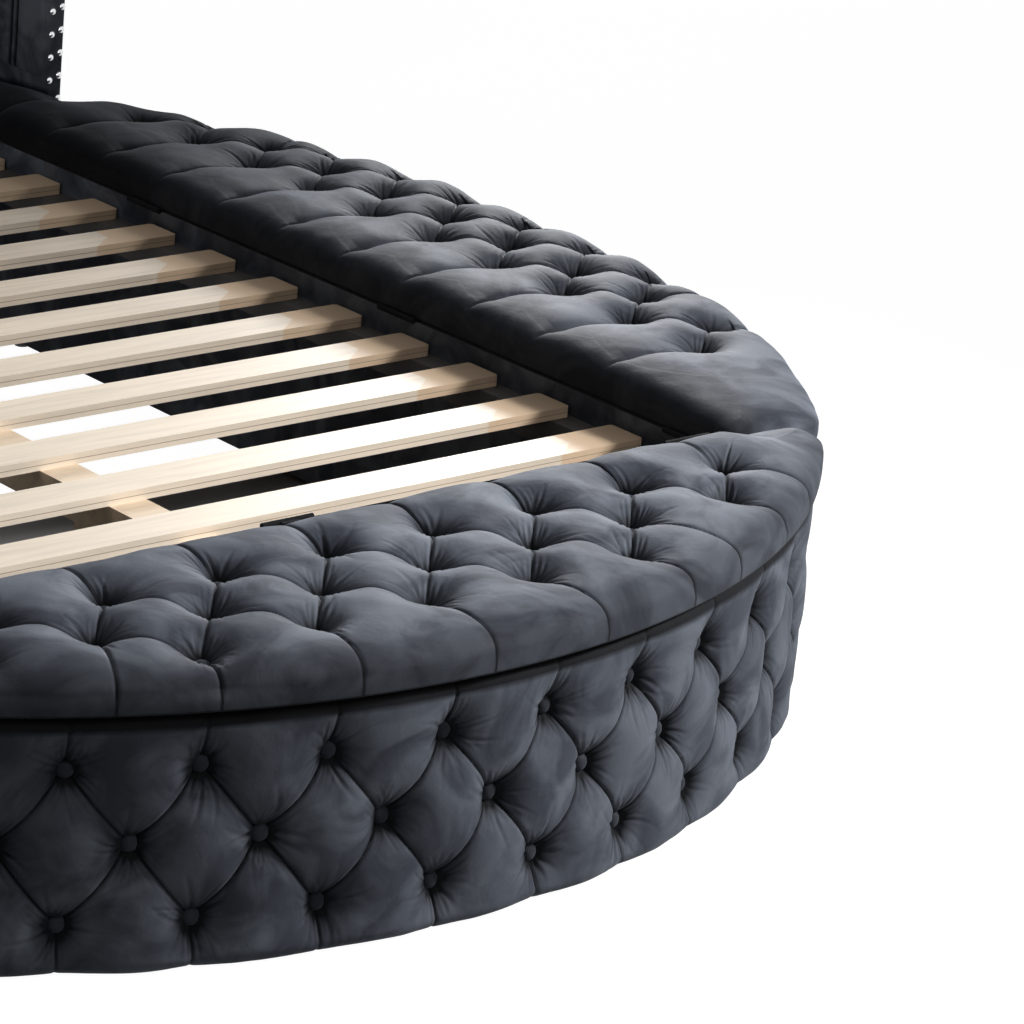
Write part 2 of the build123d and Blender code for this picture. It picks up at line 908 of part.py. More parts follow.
# Buttons of the headboard, in rows of diamonds from the seam to the top
def headboard_rows():
    pitch = 2 * headboard_inner_half() / headboard_columns
    rows = []
    for index in range(headboard_row_count):
        z = headboard_row_first + index * headboard_row_gap
        offset = (index % 2) / 2
        count = headboard_columns - 1 + index % 2
        first = -(count - 1) / 2
        rows.append([(pitch * (first + step), z) for step in range(count)])
    return rows, pitch


def make_headboard_cushion():
    rows, pitch = headboard_rows()
    front = Vector(0, -1, 0)
    places = [(Vector(x, head_y, z), front) for row in rows for x, z in row]
    diamonds = [
        [
            (Vector(start[0], head_y, start[1]), Vector(end[0], head_y, end[1]), front)
            for start in row
            for end in next_row
            if abs(end[0] - start[0]) < pitch
        ]
        for row, next_row in zip(rows, rows[1:])
    ]
    with BuildPart() as cushion:
        board(-headboard_inner_half(), headboard_inner_half(), head_y, core_y,
              band_top, headboard_height)
        front_face = cushion.faces().sort_by(Axis.Y)[0]
        fillet(front_face.edges(), headboard_edge)
        for runs in diamonds:
            cut_folds(runs)
        cut_folds([(Vector(x, head_y, z), Vector(x, head_y, band_top - overrun), front)
                   for x, z in rows[0]])
        cut_folds([(Vector(x, head_y, z), Vector(x, head_y, headboard_height + overrun), front)
                   for x, z in rows[-1]])
        cut_dimples(places, headboard_dimple_depth, headboard_dimple_mouth)
    save(cushion.part, "headboard_cushion")
    with BuildPart() as buttons:
        make_buttons(places, headboard_dimple_depth)
    save(buttons.part, "headboard_buttons")


# Side outline of a wing, in the YZ plane, with its front top corner rounded
def draw_wing(inset):
    front = head_y - wing_depth + inset
    top = headboard_height - inset
    with BuildLine() as outline:
        Polyline(
            (front, top - wing_corner + inset),
            (front, glide_height),
            (back_y, glide_height),
            (back_y, top),
            (front + wing_corner - inset, top),
        )
        RadiusArc(
            (front, top - wing_corner + inset),
            (front + wing_corner - inset, top),
            wing_corner - inset,
        )
    make_face(outline.edges())


# A wing is a board wrapped in thin foam and velvet, nailed along its front
def make_wings():
    for name, side in sides.items():
        with BuildPart() as core:
            with BuildSketch(Plane.YZ.offset(side * (wing_board_half() + wing_ply / 2))):
                draw_wing(wing_padding)
            extrude(amount=wing_ply / 2, both=True)
        save(core.part, f"{name}_wing_core")
        with BuildPart() as cover:
            with BuildSketch(Plane.YZ.offset(side * (headboard_half_width - wing_thickness / 2))):
                draw_wing(0)
            extrude(amount=wing_thickness / 2, both=True)
            with BuildSketch(Plane.YZ.offset(side * (wing_board_half() + wing_ply / 2))):
                draw_wing(wing_padding)
            extrude(amount=wing_ply / 2, both=True, mode=Mode.SUBTRACT)
            board(side * headboard_inner_half(), side * wing_board_half(), core_y, back_y + overrun,
                  0, headboard_height + overrun, Mode.SUBTRACT)
        save(cover.part, f"{name}_wing_cover")


# Place along a wing's front edge, up the front, round the corner and back
def wing_edge_place(run, x):
    front = head_y - wing_depth
    straight = headboard_height - wing_corner - nail_low
    arc = wing_corner * math.pi / 2
    if run <= straight:
        return Vector(x, front, nail_low + run), Vector(0, -1, 0)
    if run <= straight + arc:
        turn = (run - straight) / wing_corner
        normal = Vector(0, -math.cos(turn), math.sin(turn))
        centre = Vector(x, front + wing_corner, headboard_height - wing_corner)
        return centre + normal * wing_corner, normal
    return Vector(x, front + wing_corner + run - straight - arc, headboard_height), Vector(0, 0, 1)


def make_nailheads():
    run_end = (
        headboard_height - wing_corner - nail_low
        + wing_corner * math.pi / 2
        + wing_depth - wing_corner
    )
    count = int(run_end / nail_spacing) + 1
    middle_x = headboard_half_width - wing_thickness / 2
    with BuildPart() as nails:
        seats = []
        for side in sides.values():
            for column in (-1, 1):
                x = side * middle_x + column * nail_column_gap / 2
                for step in range(count):
                    point, normal = wing_edge_place(step * nail_spacing, x)
                    seats.append(Plane(origin=point, z_dir=normal))
        with Locations(*seats):
            Cone(nail_radius, nail_radius / 2, nail_dome,
                 align=(Align.CENTER, Align.CENTER, Align.MIN))
    save(nails.part, "wing_nailheads")


make_outer_wall("foot_outer_wall", 0)
make_inner_walls()
make_linings()
make_end_panels()
make_corner_blocks()
make_bottom_boards()
make_wall_cover("foot_wall_cover", 0, *foot_wall_rows())
for side_name, side_sign in sides.items():
    make_outer_wall(f"{side_name}_outer_wall", side_sign)
    make_wall_cover(f"{side_name}_wall_cover", side_sign, *side_wall_rows())
make_wall_buttons()
make_foot_lid()
make_side_lids()
make_slats()
make_cleats()
make_centre_rail()
make_centre_legs()
make_glides()
make_hinges()
make_headboard_bolts()
make_headboard_core()
make_headboard_band()
make_headboard_cushion()
make_wings()
make_nailheads()
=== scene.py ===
import math

import bpy
import numpy as np
from mathutils import Matrix, Vector


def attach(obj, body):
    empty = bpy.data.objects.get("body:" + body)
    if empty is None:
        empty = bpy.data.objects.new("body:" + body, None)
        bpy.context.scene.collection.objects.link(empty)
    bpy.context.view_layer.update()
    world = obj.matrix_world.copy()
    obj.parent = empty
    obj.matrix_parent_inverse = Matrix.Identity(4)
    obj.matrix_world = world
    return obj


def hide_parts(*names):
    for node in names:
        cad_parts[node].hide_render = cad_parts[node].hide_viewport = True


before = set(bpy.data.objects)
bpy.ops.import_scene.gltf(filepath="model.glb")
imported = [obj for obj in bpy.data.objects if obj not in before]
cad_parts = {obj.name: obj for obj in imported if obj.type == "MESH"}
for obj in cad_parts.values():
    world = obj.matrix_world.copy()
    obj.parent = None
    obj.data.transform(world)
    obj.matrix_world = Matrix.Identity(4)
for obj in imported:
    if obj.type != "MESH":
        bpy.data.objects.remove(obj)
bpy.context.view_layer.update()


# Bench boxes: bent and flat birch plywood, glued and screwed into three
# curved boxes. Outer walls and floors stay bare and show when a lid is up.
def new_finish(name, colour, roughness):
    finish = bpy.data.materials.new(name)
    finish.use_nodes = True
    shader = finish.node_tree.nodes["Principled BSDF"]
    shader.inputs["Base Color"].default_value = (*colour, 1)
    shader.inputs["Roughness"].default_value = roughness
    return finish, shader


def add(finish, kind, sockets=(), **settings):
    node = finish.node_tree.nodes.new(kind)
    for name, value in settings.items():
        setattr(node, name, value)
    for name, value in dict(sockets).items():
        node.inputs[name].default_value = value
    return node


def wire(finish, source, target):
    finish.node_tree.links.new(source, target)


def two_tone(finish, factor, low, high, low_at=0.3, high_at=0.7):
    ramp = add(finish, "ShaderNodeValToRGB")
    ends = ramp.color_ramp.elements
    ends[0].position, ends[1].position = low_at, high_at
    ends[0].color, ends[1].color = (*low, 1), (*high, 1)
    wire(finish, factor, ramp.inputs["Fac"])
    return ramp.outputs["Color"]


def stretched_noise(finish, stretch, scale, detail=4.0, distortion=0.0):
    place = add(finish, "ShaderNodeTexCoord")
    mapping = add(finish, "ShaderNodeMapping", {"Scale": stretch})
    wire(finish, place.outputs["Object"], mapping.inputs["Vector"])
    noise = add(finish, "ShaderNodeTexNoise", {"Scale": scale, "Detail": detail, "Distortion": distortion})
    wire(finish, mapping.outputs["Vector"], noise.inputs["Vector"])
    return noise.outputs["Fac"]


def mixed(finish, factor, low, high):
    mix = add(finish, "ShaderNodeMix", data_type="RGBA")
    wire(finish, factor, mix.inputs[0])
    for colour, socket in ((low, mix.inputs[6]), (high, mix.inputs[7])):
        if isinstance(colour, (tuple, list)):
            socket.default_value = (*colour, 1)
        else:
            wire(finish, colour, socket)
    return mix.outputs[2]


def bump(finish, shader, height, strength, distance, below=None):
    node = add(finish, "ShaderNodeBump", {"Strength": strength, "Distance": distance})
    wire(finish, height, node.inputs["Height"])
    if below:
        wire(finish, below, node.inputs["Normal"])
    wire(finish, node.outputs["Normal"], shader.inputs["Normal"])
    return node.outputs["Normal"]


def birch_plywood():
    finish, shader = new_finish("birch plywood", (0.6, 0.44, 0.28), 0.6)
    grain = stretched_noise(finish, (3, 3, 40), 6, 8, 0.8)
    wire(finish, two_tone(finish, grain, (0.46, 0.31, 0.18), (0.68, 0.51, 0.33)), shader.inputs["Base Color"])
    bump(finish, shader, grain, 0.15, 0.001)
    return finish


def dress(nodes, finish):
    for node in nodes:
        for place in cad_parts[node].material_slots:
            place.material = finish


plywood = birch_plywood()
dress(
    ["foot_outer_wall", "left_outer_wall", "right_outer_wall", "bench_end_panels", "foot_corner_blocks",
     "foot_bottom_board", "left_bottom_board", "right_bottom_board", "left_wing_core", "right_wing_core"],
    plywood,
)


# Slats, rail and legs: planed pine. The battens that carry the slats and the
# plywood walls around the well are stained nearly black.
def pine(name, pale, tan, ends_shaded):
    finish, shader = new_finish(name, pale, 0.55)
    grain = stretched_noise(finish, (1, 14, 14), 5, 7, 0.6)
    colour = two_tone(finish, grain, [0.86 * c for c in pale], pale, 0.35, 0.62)
    if ends_shaded:
        colour = shaded_slat_ends(finish, colour, tan)
    wire(finish, colour, shader.inputs["Base Color"])
    bump(finish, shader, grain, 0.12, 0.0006)
    return finish


# A slat is glued from two plies, shown as a darker line along its edges. Its end
# is painted darker in a blunt arrow shape: painted shade, where the light on the
# slat stops. These are shares of the slat's length, width and thickness
arrow_start = 0.928
arrow_slant = 0.056
arrow_blur = 0.003
ply_height = 0.47
ply_line = 0.035


def shaded_slat_ends(finish, colour, tan):
    place = add(finish, "ShaderNodeTexCoord")
    parts = add(finish, "ShaderNodeSeparateXYZ")
    wire(finish, place.outputs["Generated"], parts.inputs["Vector"])
    middle = add(finish, "ShaderNodeMath", {1: 0.5}, operation="SUBTRACT")
    wire(finish, parts.outputs["Y"], middle.inputs[0])
    aside = add(finish, "ShaderNodeMath", {1: 0.0}, operation="MINIMUM")
    wire(finish, middle.outputs[0], aside.inputs[0])
    arrow = add(finish, "ShaderNodeMath", {1: arrow_slant, 2: arrow_start}, operation="MULTIPLY_ADD")
    wire(finish, aside.outputs[0], arrow.inputs[0])
    past = add(finish, "ShaderNodeMath", operation="SUBTRACT")
    wire(finish, parts.outputs["X"], past.inputs[0])
    wire(finish, arrow.outputs[0], past.inputs[1])
    edge = add(finish, "ShaderNodeMapRange", {"From Min": 0.0, "From Max": arrow_blur})
    wire(finish, past.outputs[0], edge.inputs["Value"])
    ply = add(finish, "ShaderNodeMath", {1: ply_height, 2: ply_line}, operation="COMPARE")
    wire(finish, parts.outputs["Z"], ply.inputs[0])
    end_shaded = mixed(finish, edge.outputs["Result"], colour, tan)
    return mixed(finish, ply.outputs[0], end_shaded, [0.55 * c for c in tan])


slat_pine = pine("slat pine", (0.86, 0.74, 0.6), (0.72, 0.53, 0.36), True)
rail_pine = pine("rail pine", (0.78, 0.62, 0.45), (0.6, 0.42, 0.28), False)
dress([f"slat_{number:02d}" for number in range(1, 14)], slat_pine)
dress(["centre_rail", "centre_legs"], rail_pine)
black_stain, black_stain_shader = new_finish("black stained pine", (0.012, 0.009, 0.008), 0.7)
bump(black_stain, black_stain_shader, stretched_noise(black_stain, (30, 2, 30), 6), 0.2, 0.001)
dress(["left_slat_cleat", "right_slat_cleat", "foot_inner_wall", "left_inner_wall", "right_inner_wall"],
      black_stain)


# Hinges, rail saddles and bolts: pressed steel with a dull black zinc finish.
# The glides under the walls are black nylon.
def black_zinc():
    finish, shader = new_finish("black zinc", (0.008, 0.008, 0.009), 0.85)
    shader.inputs["Specular IOR Level"].default_value = 0.1
    scuffs = stretched_noise(finish, (1, 1, 1), 90, 6)
    bump(finish, shader, scuffs, 0.1, 0.0004)
    return finish


zinc = black_zinc()
dress(["hinge_box_leaves", "hinge_pins", "foot_hinge_lid_leaves", "left_hinge_lid_leaves",
       "right_hinge_lid_leaves", "rail_brackets", "headboard_bolts"], zinc)
nylon, nylon_shader = new_finish("black nylon", (0.02, 0.02, 0.02), 0.5)
bump(nylon, nylon_shader, stretched_noise(nylon, (1, 1, 1), 300), 0.1, 0.0003)
dress(["floor_glides"], nylon)


# Velvet on the well's sides and over the headboard's board: the same charcoal
# velvet as the pads, glued flat. Its tone varies in brushed patches, and a mesh
# attribute mixes it towards black as painted shade in the tufts' pits, folds and
# creases, under the pad edges and over the rolls.
def charcoal_velvet(name, dark, light, sheen):
    finish, shader = new_finish(name, dark, 0.7)
    shader.inputs["Sheen Weight"].default_value = sheen
    shader.inputs["Sheen Roughness"].default_value = 0.6
    shader.inputs["Sheen Tint"].default_value = (0.75, 0.82, 0.95, 1)
    shader.inputs["Specular IOR Level"].default_value = 0.06
    brushed = stretched_noise(finish, (1, 1, 1), 9, 7, 1.4)
    # This attribute holds painted shade: where it is high, the colour is mixed towards black
    tucks = add(finish, "ShaderNodeAttribute", attribute_name="painted_shade")
    pile = two_tone(finish, brushed, dark, light, 0.4, 0.62)
    shaded = mixed(finish, tucks.outputs["Fac"], pile, (0.001, 0.001, 0.0015))
    wire(finish, shaded, shader.inputs["Base Color"])
    nap = stretched_noise(finish, (1, 1, 1), 900, 2)
    soft = stretched_noise(finish, (1, 1, 1), 70, 5, 0.5)
    below = bump(finish, shader, soft, 0.25, 0.002)
    bump(finish, shader, nap, 0.25, 0.0006, below)
    return finish


velvet = charcoal_velvet("charcoal velvet", (0.051, 0.057, 0.073), (0.132, 0.146, 0.175), 0.06)
dress(["inner_wall_linings", "headboard_core"], velvet)


# Plan of the bench fronts, in metres: two half circles joined by a short
# straight, then a straight tail beside the headboard's wings
plan_radius = 1.210
plan_straight = 0.280
tail_half_width = 0.900
tail_blend = 0.030
arc_y = -0.07075
straight_y = arc_y + plan_straight
foot_y = -0.84075
joint_y = foot_y - 0.002
head_y = 1.20925
band_y = 1.22125
cover_inset = 0.008
outline_step = 0.002
outline_spare = 0.2
blend_reach = 0.09


def trace_outline():
    radius = plan_radius - cover_inset
    tail_turn = math.acos((tail_half_width - cover_inset) / radius)
    quarter, tail = radius * math.pi / 2, radius * tail_turn
    start_tail = straight_y + radius * math.sin(tail_turn)
    end = quarter + plan_straight + tail + band_y - start_tail
    run = np.arange(0, end + outline_spare, outline_step)
    heading = np.minimum(run, quarter) / radius
    heading += np.clip(run - quarter - plan_straight, 0, tail) / radius
    heading = np.where(run > quarter + plan_straight + tail, math.pi / 2, heading)
    nearby = np.arange(-blend_reach, blend_reach + outline_step / 2, outline_step)
    weights = np.exp(-((nearby / tail_blend) ** 2))
    padded = np.pad(heading, len(weights) // 2, mode="edge")
    heading = np.where(run > quarter, np.convolve(padded, weights / weights.sum(), "valid"), heading)
    steps = np.stack((np.cos(heading), np.sin(heading)), axis=1) * outline_step
    places = np.vstack(((0, arc_y - radius), np.cumsum(steps, axis=0)[:-1] + (0, arc_y - radius)))
    return run, places, heading, end


outline_run, outline_places, outline_heading, outline_end = trace_outline()


def on_outline(distance, height, out):
    side = np.where(distance < 0, -1.0, 1.0)
    run = np.abs(distance)
    x = np.interp(run, outline_run, outline_places[:, 0])
    y = np.interp(run, outline_run, outline_places[:, 1])
    heading = np.interp(run, outline_run, outline_heading)
    x, y = x + np.sin(heading) * out, y - np.cos(heading) * out
    return np.stack((side * x, y, height), axis=-1)


# A pad is laid out flat first: a grid over its face, then rings that roll over
# its edge and under it. Each ring keeps its unrolled place for the folds.
grid_step = 0.0024
corner_turn = math.radians(7)


def outward_of(places):
    along = np.gradient(places, axis=0)
    normals = np.stack((along[:, 1], -along[:, 0]), axis=1)
    return normals / np.linalg.norm(normals, axis=1, keepdims=True)


def edge_loop(flat):
    rows, columns = flat.shape[:2]
    index = np.arange(rows * columns).reshape(rows, columns)
    sides = [index[:, 0], index[-1, :], index[::-1, -1], index[0, ::-1]]
    normals = [outward_of(flat.reshape(-1, 2)[side]) for side in sides]
    points, outward, starts = [], [], []
    for number, side in enumerate(sides):
        starts.append(len(points))
        points += list(side)
        outward += list(normals[number])
        before, after = normals[number][-1], normals[(number + 1) % 4][0]
        bend = math.atan2(before[0] * after[1] - before[1] * after[0], before @ after)
        steps = max(int(abs(bend) / corner_turn), 1)
        for step in range(1, steps):
            cosine, sine = math.cos(bend * step / steps), math.sin(bend * step / steps)
            points.append(side[-1])
            outward.append((cosine * before[0] - sine * before[1], sine * before[0] + cosine * before[1]))
    return points, np.array(outward), starts[2]


# The grid is gathered towards the buttons, where the creases are finest, and
# the points nearest a fold are drawn onto it, so that it stays a clean line
gather_share = 0.3
gather_reach = 0.045
still_border = 8


def gather_grid(flat, buttons):
    moved = np.zeros_like(flat)
    rows, columns = flat.shape[:2]
    edge = np.minimum(np.arange(rows), np.arange(rows)[::-1])[:, None]
    edge = np.minimum(edge, np.minimum(np.arange(columns), np.arange(columns)[::-1]))
    edge = np.clip(edge / still_border, 0, 1)
    for button in buttons:
        offset = flat - button
        near = gather_share * np.exp(-(offset ** 2).sum(axis=2) / gather_reach ** 2)
        moved -= offset * (near * edge)[..., None]
    flat += moved


def draw_onto_folds(flat, folds):
    rows, columns = flat.shape[:2]
    still = flat.copy()
    owner = -np.ones((rows, columns), int)
    reach = 3 * grid_step
    for number, (start, end) in enumerate(folds):
        length = np.linalg.norm(end - start)
        along = (end - start) / length
        offset = (still - start) @ np.array((-along[1], along[0]))
        travel = (still - start) @ along
        near = (np.abs(offset) < reach) & (travel > -reach) & (travel < length + reach)
        if not near.any():
            continue
        spans = [np.ptp(hits) for hits in np.nonzero(near)]
        across = 1 if spans[0] >= spans[1] else 0
        ahead = np.roll(offset, -1, axis=across)
        crossing = near & np.roll(near, -1, axis=across) & (offset * ahead <= 0) & (offset != ahead)
        for row, column in zip(*np.nonzero(crossing)):
            next_row, next_column = (row, column + 1) if across else (row + 1, column)
            if next_row >= rows or next_column >= columns:
                continue
            share = offset[row, column] / (offset[row, column] - offset[next_row, next_column])
            place = still[row, column] * (1 - share) + still[next_row, next_column] * share
            if share >= 0.5:
                row, column = next_row, next_column
            moving, last = (column, columns - 1) if across else (row, rows - 1)
            if 0 <= (place - start) @ along <= length and 0 < moving < last:
                flat[row, column] = place
                owner[row, column] = number
    return owner


def pad_faces(rows, columns, owner, loop, far_start, rings):
    faces = []
    for row in range(rows - 1):
        for column in range(columns - 1):
            a = row * columns + column
            b, c, d = a + 1, a + columns + 1, a + columns
            if owner[row, column] >= 0 and owner[row, column] == owner[row + 1, column + 1]:
                faces += [(a, c, b), (a, d, c)]
            elif owner[row, column + 1] >= 0 and owner[row, column + 1] == owner[row + 1, column]:
                faces += [(a, d, b), (b, d, c)]
            else:
                faces.append((a, d, c, b))
    size, first = len(loop), rows * columns
    for entry in range(size):
        after = (entry + 1) % size
        faces.append((loop[entry], first + entry, first + after)
                     + (() if loop[entry] == loop[after] else (loop[after],)))
        for low in range(first, first + (rings - 1) * size, size):
            faces.append((low + entry, low + size + entry, low + size + after, low + after))
    last = first + (rings - 1) * size
    near = [last + row for row in range(rows)]
    far = [last + far_start + rows - 1 - row for row in range(rows)]
    for row in range(rows - 1):
        faces.append((near[row], far[row], far[row + 1], near[row + 1]))
    faces.append(tuple(range(last + far_start, near[-1] - 1, -1)))
    faces.append(tuple([near[0]] + list(range(last + size - 1, far[0] - 1, -1))))
    return faces


# A button pulls the velvet to a point. Folds are tucked in from button to
# button, and the slack gathers beside them in fans of short creases
button_reach = 0.16
button_slit = 0.017
fold_slit = 0.0023
slit_half = 0.0018
fan_spacing = 0.0082
fan_bend = 0.017
fan_start = (0.006, 0.010)
fan_widths = (0.0017, 0.0026)
crease_start = (0.008, 0.008)
crease_widths = (0.0018, 0.0034)
slow_rolls = (0.09, 0.0018)
small_rolls = (0.028, 0.0006)


def ramped(value, start, span):
    return np.clip((value - start) / span, 0, 1)


def fold_depths(aside, share, mid_depth, end_depth, width, fades_out):
    pull = (1 - share) ** 2.2 if fades_out else np.abs(2 * share - 1) ** 2.2
    beyond = np.clip(aside / width, 0, 1)
    lobe = 1 - np.sqrt(1 - (1 - beyond) ** 2)
    slit = np.exp(-((aside / fold_slit) ** 2))
    return (mid_depth + (end_depth - mid_depth) * pull) * (lobe + 0.3 * slit)


def fan_depths(travel, offset, rng, reach, depth):
    gathered = np.zeros(len(travel))
    full_side = rng.choice((-1, 1))
    for side in (-1, 1):
        for number in range(1, 5 if side == full_side else 3):
            bend_out = side * (fan_spacing * number + rng.uniform(-0.002, 0.002))
            length = reach * rng.uniform(0.65, 1.05) * (1.1 - 0.15 * number)
            deep = depth * rng.uniform(0.6, 1.1) * (1.1 - 0.14 * number)
            width = rng.uniform(*fan_widths)
            path = bend_out * (1 - np.exp(-travel / fan_bend))
            fade = ramped(travel, *fan_start) * np.clip(1 - travel / length, 0, 1) ** 0.8
            across = (offset - path) / width
            gathered += deep * fade * (np.exp(-(across ** 2)) - 0.3 * np.exp(-((across / 2.3) ** 2)))
    return gathered


def crease_depths(distance, angle, rng, count, reach, depth):
    gathered = np.zeros(len(distance))
    for number in range(count):
        heading = (number + rng.uniform(-0.36, 0.36)) * 2 * math.pi / count
        curl = rng.uniform(-9, 9)
        length = reach * rng.uniform(0.45, 1.0)
        deep = depth * rng.uniform(0.3, 1.0)
        width = rng.uniform(*crease_widths)
        turn = (angle - heading - curl * distance + math.pi) % (2 * math.pi) - math.pi
        aside = distance * np.sin(np.clip(turn, -1.2, 1.2))
        fade = ramped(distance, *crease_start) * np.clip(1 - distance / length, 0, 1) ** 0.8
        groove = np.exp(-((aside / width) ** 2)) - 0.35 * np.exp(-((aside / (2.6 * width)) ** 2))
        gathered += deep * fade * groove
    return gathered


def rolling_noise(flat, rng, wave, height):
    low = flat.min(axis=0)
    heights = rng.uniform(-1, 1, np.ceil((flat.max(axis=0) - low) / wave).astype(int) + 2)
    spot = (flat - low) / wave
    a, b = np.floor(spot).astype(int).T
    part = spot - np.stack((a, b), axis=1)
    part = part * part * (3 - 2 * part)
    near = heights[a, b] * (1 - part[:, 0]) + heights[a + 1, b] * part[:, 0]
    far = heights[a, b + 1] * (1 - part[:, 0]) + heights[a + 1, b + 1] * part[:, 0]
    return height * (near * (1 - part[:, 1]) + far * part[:, 1])


# The foam's top rounds down a little before the roll begins
def crown_depths(flat, drop, span):
    from_sides = [flat - flat[:, :1], flat - flat[:, -1:], flat - flat[:1], flat - flat[-1:]]
    nearest = np.minimum.reduce([np.linalg.norm(offset, axis=2) for offset in from_sides])
    return drop * np.clip(1 - nearest / span, 0, 1).reshape(-1) ** 2


def tuft_depths(flat, tufts, rng):
    pulled, creases, folded, painted_slit_shade = (np.zeros(len(flat)) for _ in range(4))
    for button in tufts["buttons"]:
        offset = flat - button
        distance = np.hypot(offset[:, 0], offset[:, 1])
        near = distance < button_reach
        distance = distance[near]
        pulled[near] += (tufts["pull"] * np.exp(-distance / tufts["pull_reach"])) ** 3
        angle = np.arctan2(offset[near, 1], offset[near, 0])
        creases[near] += crease_depths(distance, angle, rng, *tufts["creases"])
        painted_slit_shade[near] = np.maximum(painted_slit_shade[near], 1.2 * np.exp(-((distance / button_slit) ** 2)))
    pulled = np.cbrt(pulled)
    for kind, middle in (("folds", "fold"), ("pleats", "pleat"), ("tucks", "tuck")):
        for start, end in tufts.get(kind, ()):
            length = np.linalg.norm(end - start)
            along = (end - start) / length
            near = np.hypot(*(flat - (start + end) / 2).T) < length / 2 + tufts["fold_width"]
            travel = (flat[near] - start) @ along
            offset = (flat[near] - start) @ np.array((-along[1], along[0]))
            past = np.maximum(np.maximum(-travel, travel - length), 0)
            share = np.clip(travel / length, 0, 1)
            mid = tufts[middle] * rng.uniform(0.7, 1.3)
            aside = np.hypot(offset, past)
            depth = fold_depths(aside, share, mid, tufts["fold_end"], tufts["fold_width"], kind != "folds")
            if kind == "tucks":
                depth *= np.clip((1 - share) / 0.3, 0, 1) ** 1.5
            folded[near] = np.maximum(folded[near], depth)
            slit = np.exp(-((aside / slit_half) ** 2)) * (1 - share * (kind == "tucks"))
            painted_slit_shade[near] = np.maximum(painted_slit_shade[near], slit)
            creases[near] += fan_depths(travel, offset, rng, *tufts["fans"])
            if kind == "folds":
                creases[near] += fan_depths(length - travel, -offset, rng, *tufts["fans"])
    total = pulled + folded + creases + rolling_noise(flat, rng, *slow_rolls)
    total = np.minimum(total + rolling_noise(flat, rng, *small_rolls), tufts["deepest"])
    # Painted shade: the colour darkens with the depth of the pull and the folds, along the creases, and in
    # the slits round the buttons and along the folds
    painted_shade = np.clip((pulled + folded) / tufts["deepest"], 0, 1) ** 1.6
    painted_shade += 0.45 * np.clip(creases / 0.003, -0.6, 1)
    painted_shade += 0.6 * painted_slit_shade
    # A pad may add its own painted shade over whole areas, such as a roll or an end
    if "nap" in tufts:
        painted_shade += tufts["nap"](flat)
    return total, painted_shade


# The pull of the buttons fades over the last rings, so the hidden edge is even
fading_rings = 4


def sew_pad(name, flat, rim, still_rings, painted_shadow_rings, tufts, place, rng):
    rows, columns = flat.shape[:2]
    flat = flat.copy()
    gather_grid(flat, tufts["buttons"])
    owner = draw_onto_folds(flat, tufts["folds"] + tufts["pleats"])
    loop, outward, far_start = edge_loop(flat)
    face = flat.reshape(-1, 2)
    rim = np.array(rim)
    lengths = np.concatenate(([0], np.cumsum(np.linalg.norm(np.diff(rim, axis=0), axis=1))))
    slopes = np.gradient(rim, axis=0)
    slopes /= np.linalg.norm(slopes, axis=1, keepdims=True)
    unrolled = [face]
    places = [np.column_stack((face, np.zeros(len(face))))]
    ups = [np.tile((0.0, 0.0, 1.0), (len(face), 1))]
    pulled = [np.ones(len(face))]
    for step in range(1, len(rim)):
        unrolled.append(face[loop] + outward * lengths[step])
        rolled = face[loop] + outward * rim[step, 0]
        places.append(np.column_stack((rolled, np.full(len(loop), -rim[step, 1]))))
        ups.append(np.column_stack((outward * slopes[step, 1], np.full(len(loop), slopes[step, 0]))))
        pulled.append(np.full(len(loop), min(max((len(rim) - still_rings - step) / fading_rings, 0.0), 1.0)))
    unrolled, places, ups, pulled = (np.concatenate(parts) for parts in (unrolled, places, ups, pulled))
    depths, painted_shade = tuft_depths(unrolled, tufts, rng)
    depths[:len(face)] += crown_depths(flat, *tufts.get("crown", (0.0, 1.0)))
    places -= ups * (depths * pulled)[:, None]
    mesh = bpy.data.meshes.new(name)
    faces = pad_faces(rows, columns, owner, loop, far_start, len(rim) - 1)
    mesh.from_pydata(place(*places.T).tolist(), [], faces)
    # The last rings, where the edge turns under, are painted black: painted shadow below the roll
    painted_shade[len(painted_shade) - painted_shadow_rings * len(loop):] = 1.0
    mesh.attributes.new("painted_shade", "FLOAT", "POINT").data.foreach_set("value", painted_shade)
    mesh.validate()
    mesh.shade_smooth()
    pad = bpy.data.objects.new(name, mesh)
    bpy.context.scene.collection.objects.link(pad)
    return pad


def rolled_edge(radius, steps, *after):
    turns = np.linspace(0, math.pi / 2, steps)
    return [(radius * math.sin(turn), radius * (1 - math.cos(turn))) for turn in turns] + list(after)


def spread(low, high, step):
    return np.linspace(low, high, max(int(round((high - low) / step)), 2) + 1)


def wear(piece, finish, slot, body, *nodes):
    piece.data.materials.append(finish)
    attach(piece, body)
    if nodes:
        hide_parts(*nodes)


# Bench fronts: velvet over foam on the bent plywood, buttoned in three rows of
# diamonds, with pleats that run up under the lids and down to the floor
wall_foot = 0.002
wall_top = 0.325
wall_roll = 0.022
wall_rows = (0.062, 0.160, 0.254)
wall_pitch = 0.161
side_columns = 12
wall_seat = 0.030
front_rings = (2, 4)


def foot_front_columns():
    count = int((plan_radius - cover_inset) / wall_pitch)
    middle = [step * wall_pitch for step in range(1 - count, count)]
    outer = [(step + 0.5) * wall_pitch for step in range(1 - count, count - 1)]
    return middle, outer


def joint_distance():
    radius = plan_radius - cover_inset
    return radius * math.acos((arc_y - joint_y) / radius)


def side_front_columns(side):
    radius = plan_radius - cover_inset
    tail_turn = math.acos((tail_half_width - cover_inset) / radius)
    end = radius * (math.pi / 2 + tail_turn) + plan_straight
    pitch = (end - joint_distance()) / side_columns
    middle = [side * (joint_distance() + (step + 0.5) * pitch) for step in range(side_columns)]
    outer = [side * (joint_distance() + step * pitch) for step in range(1, side_columns)]
    return sorted(middle), sorted(outer)


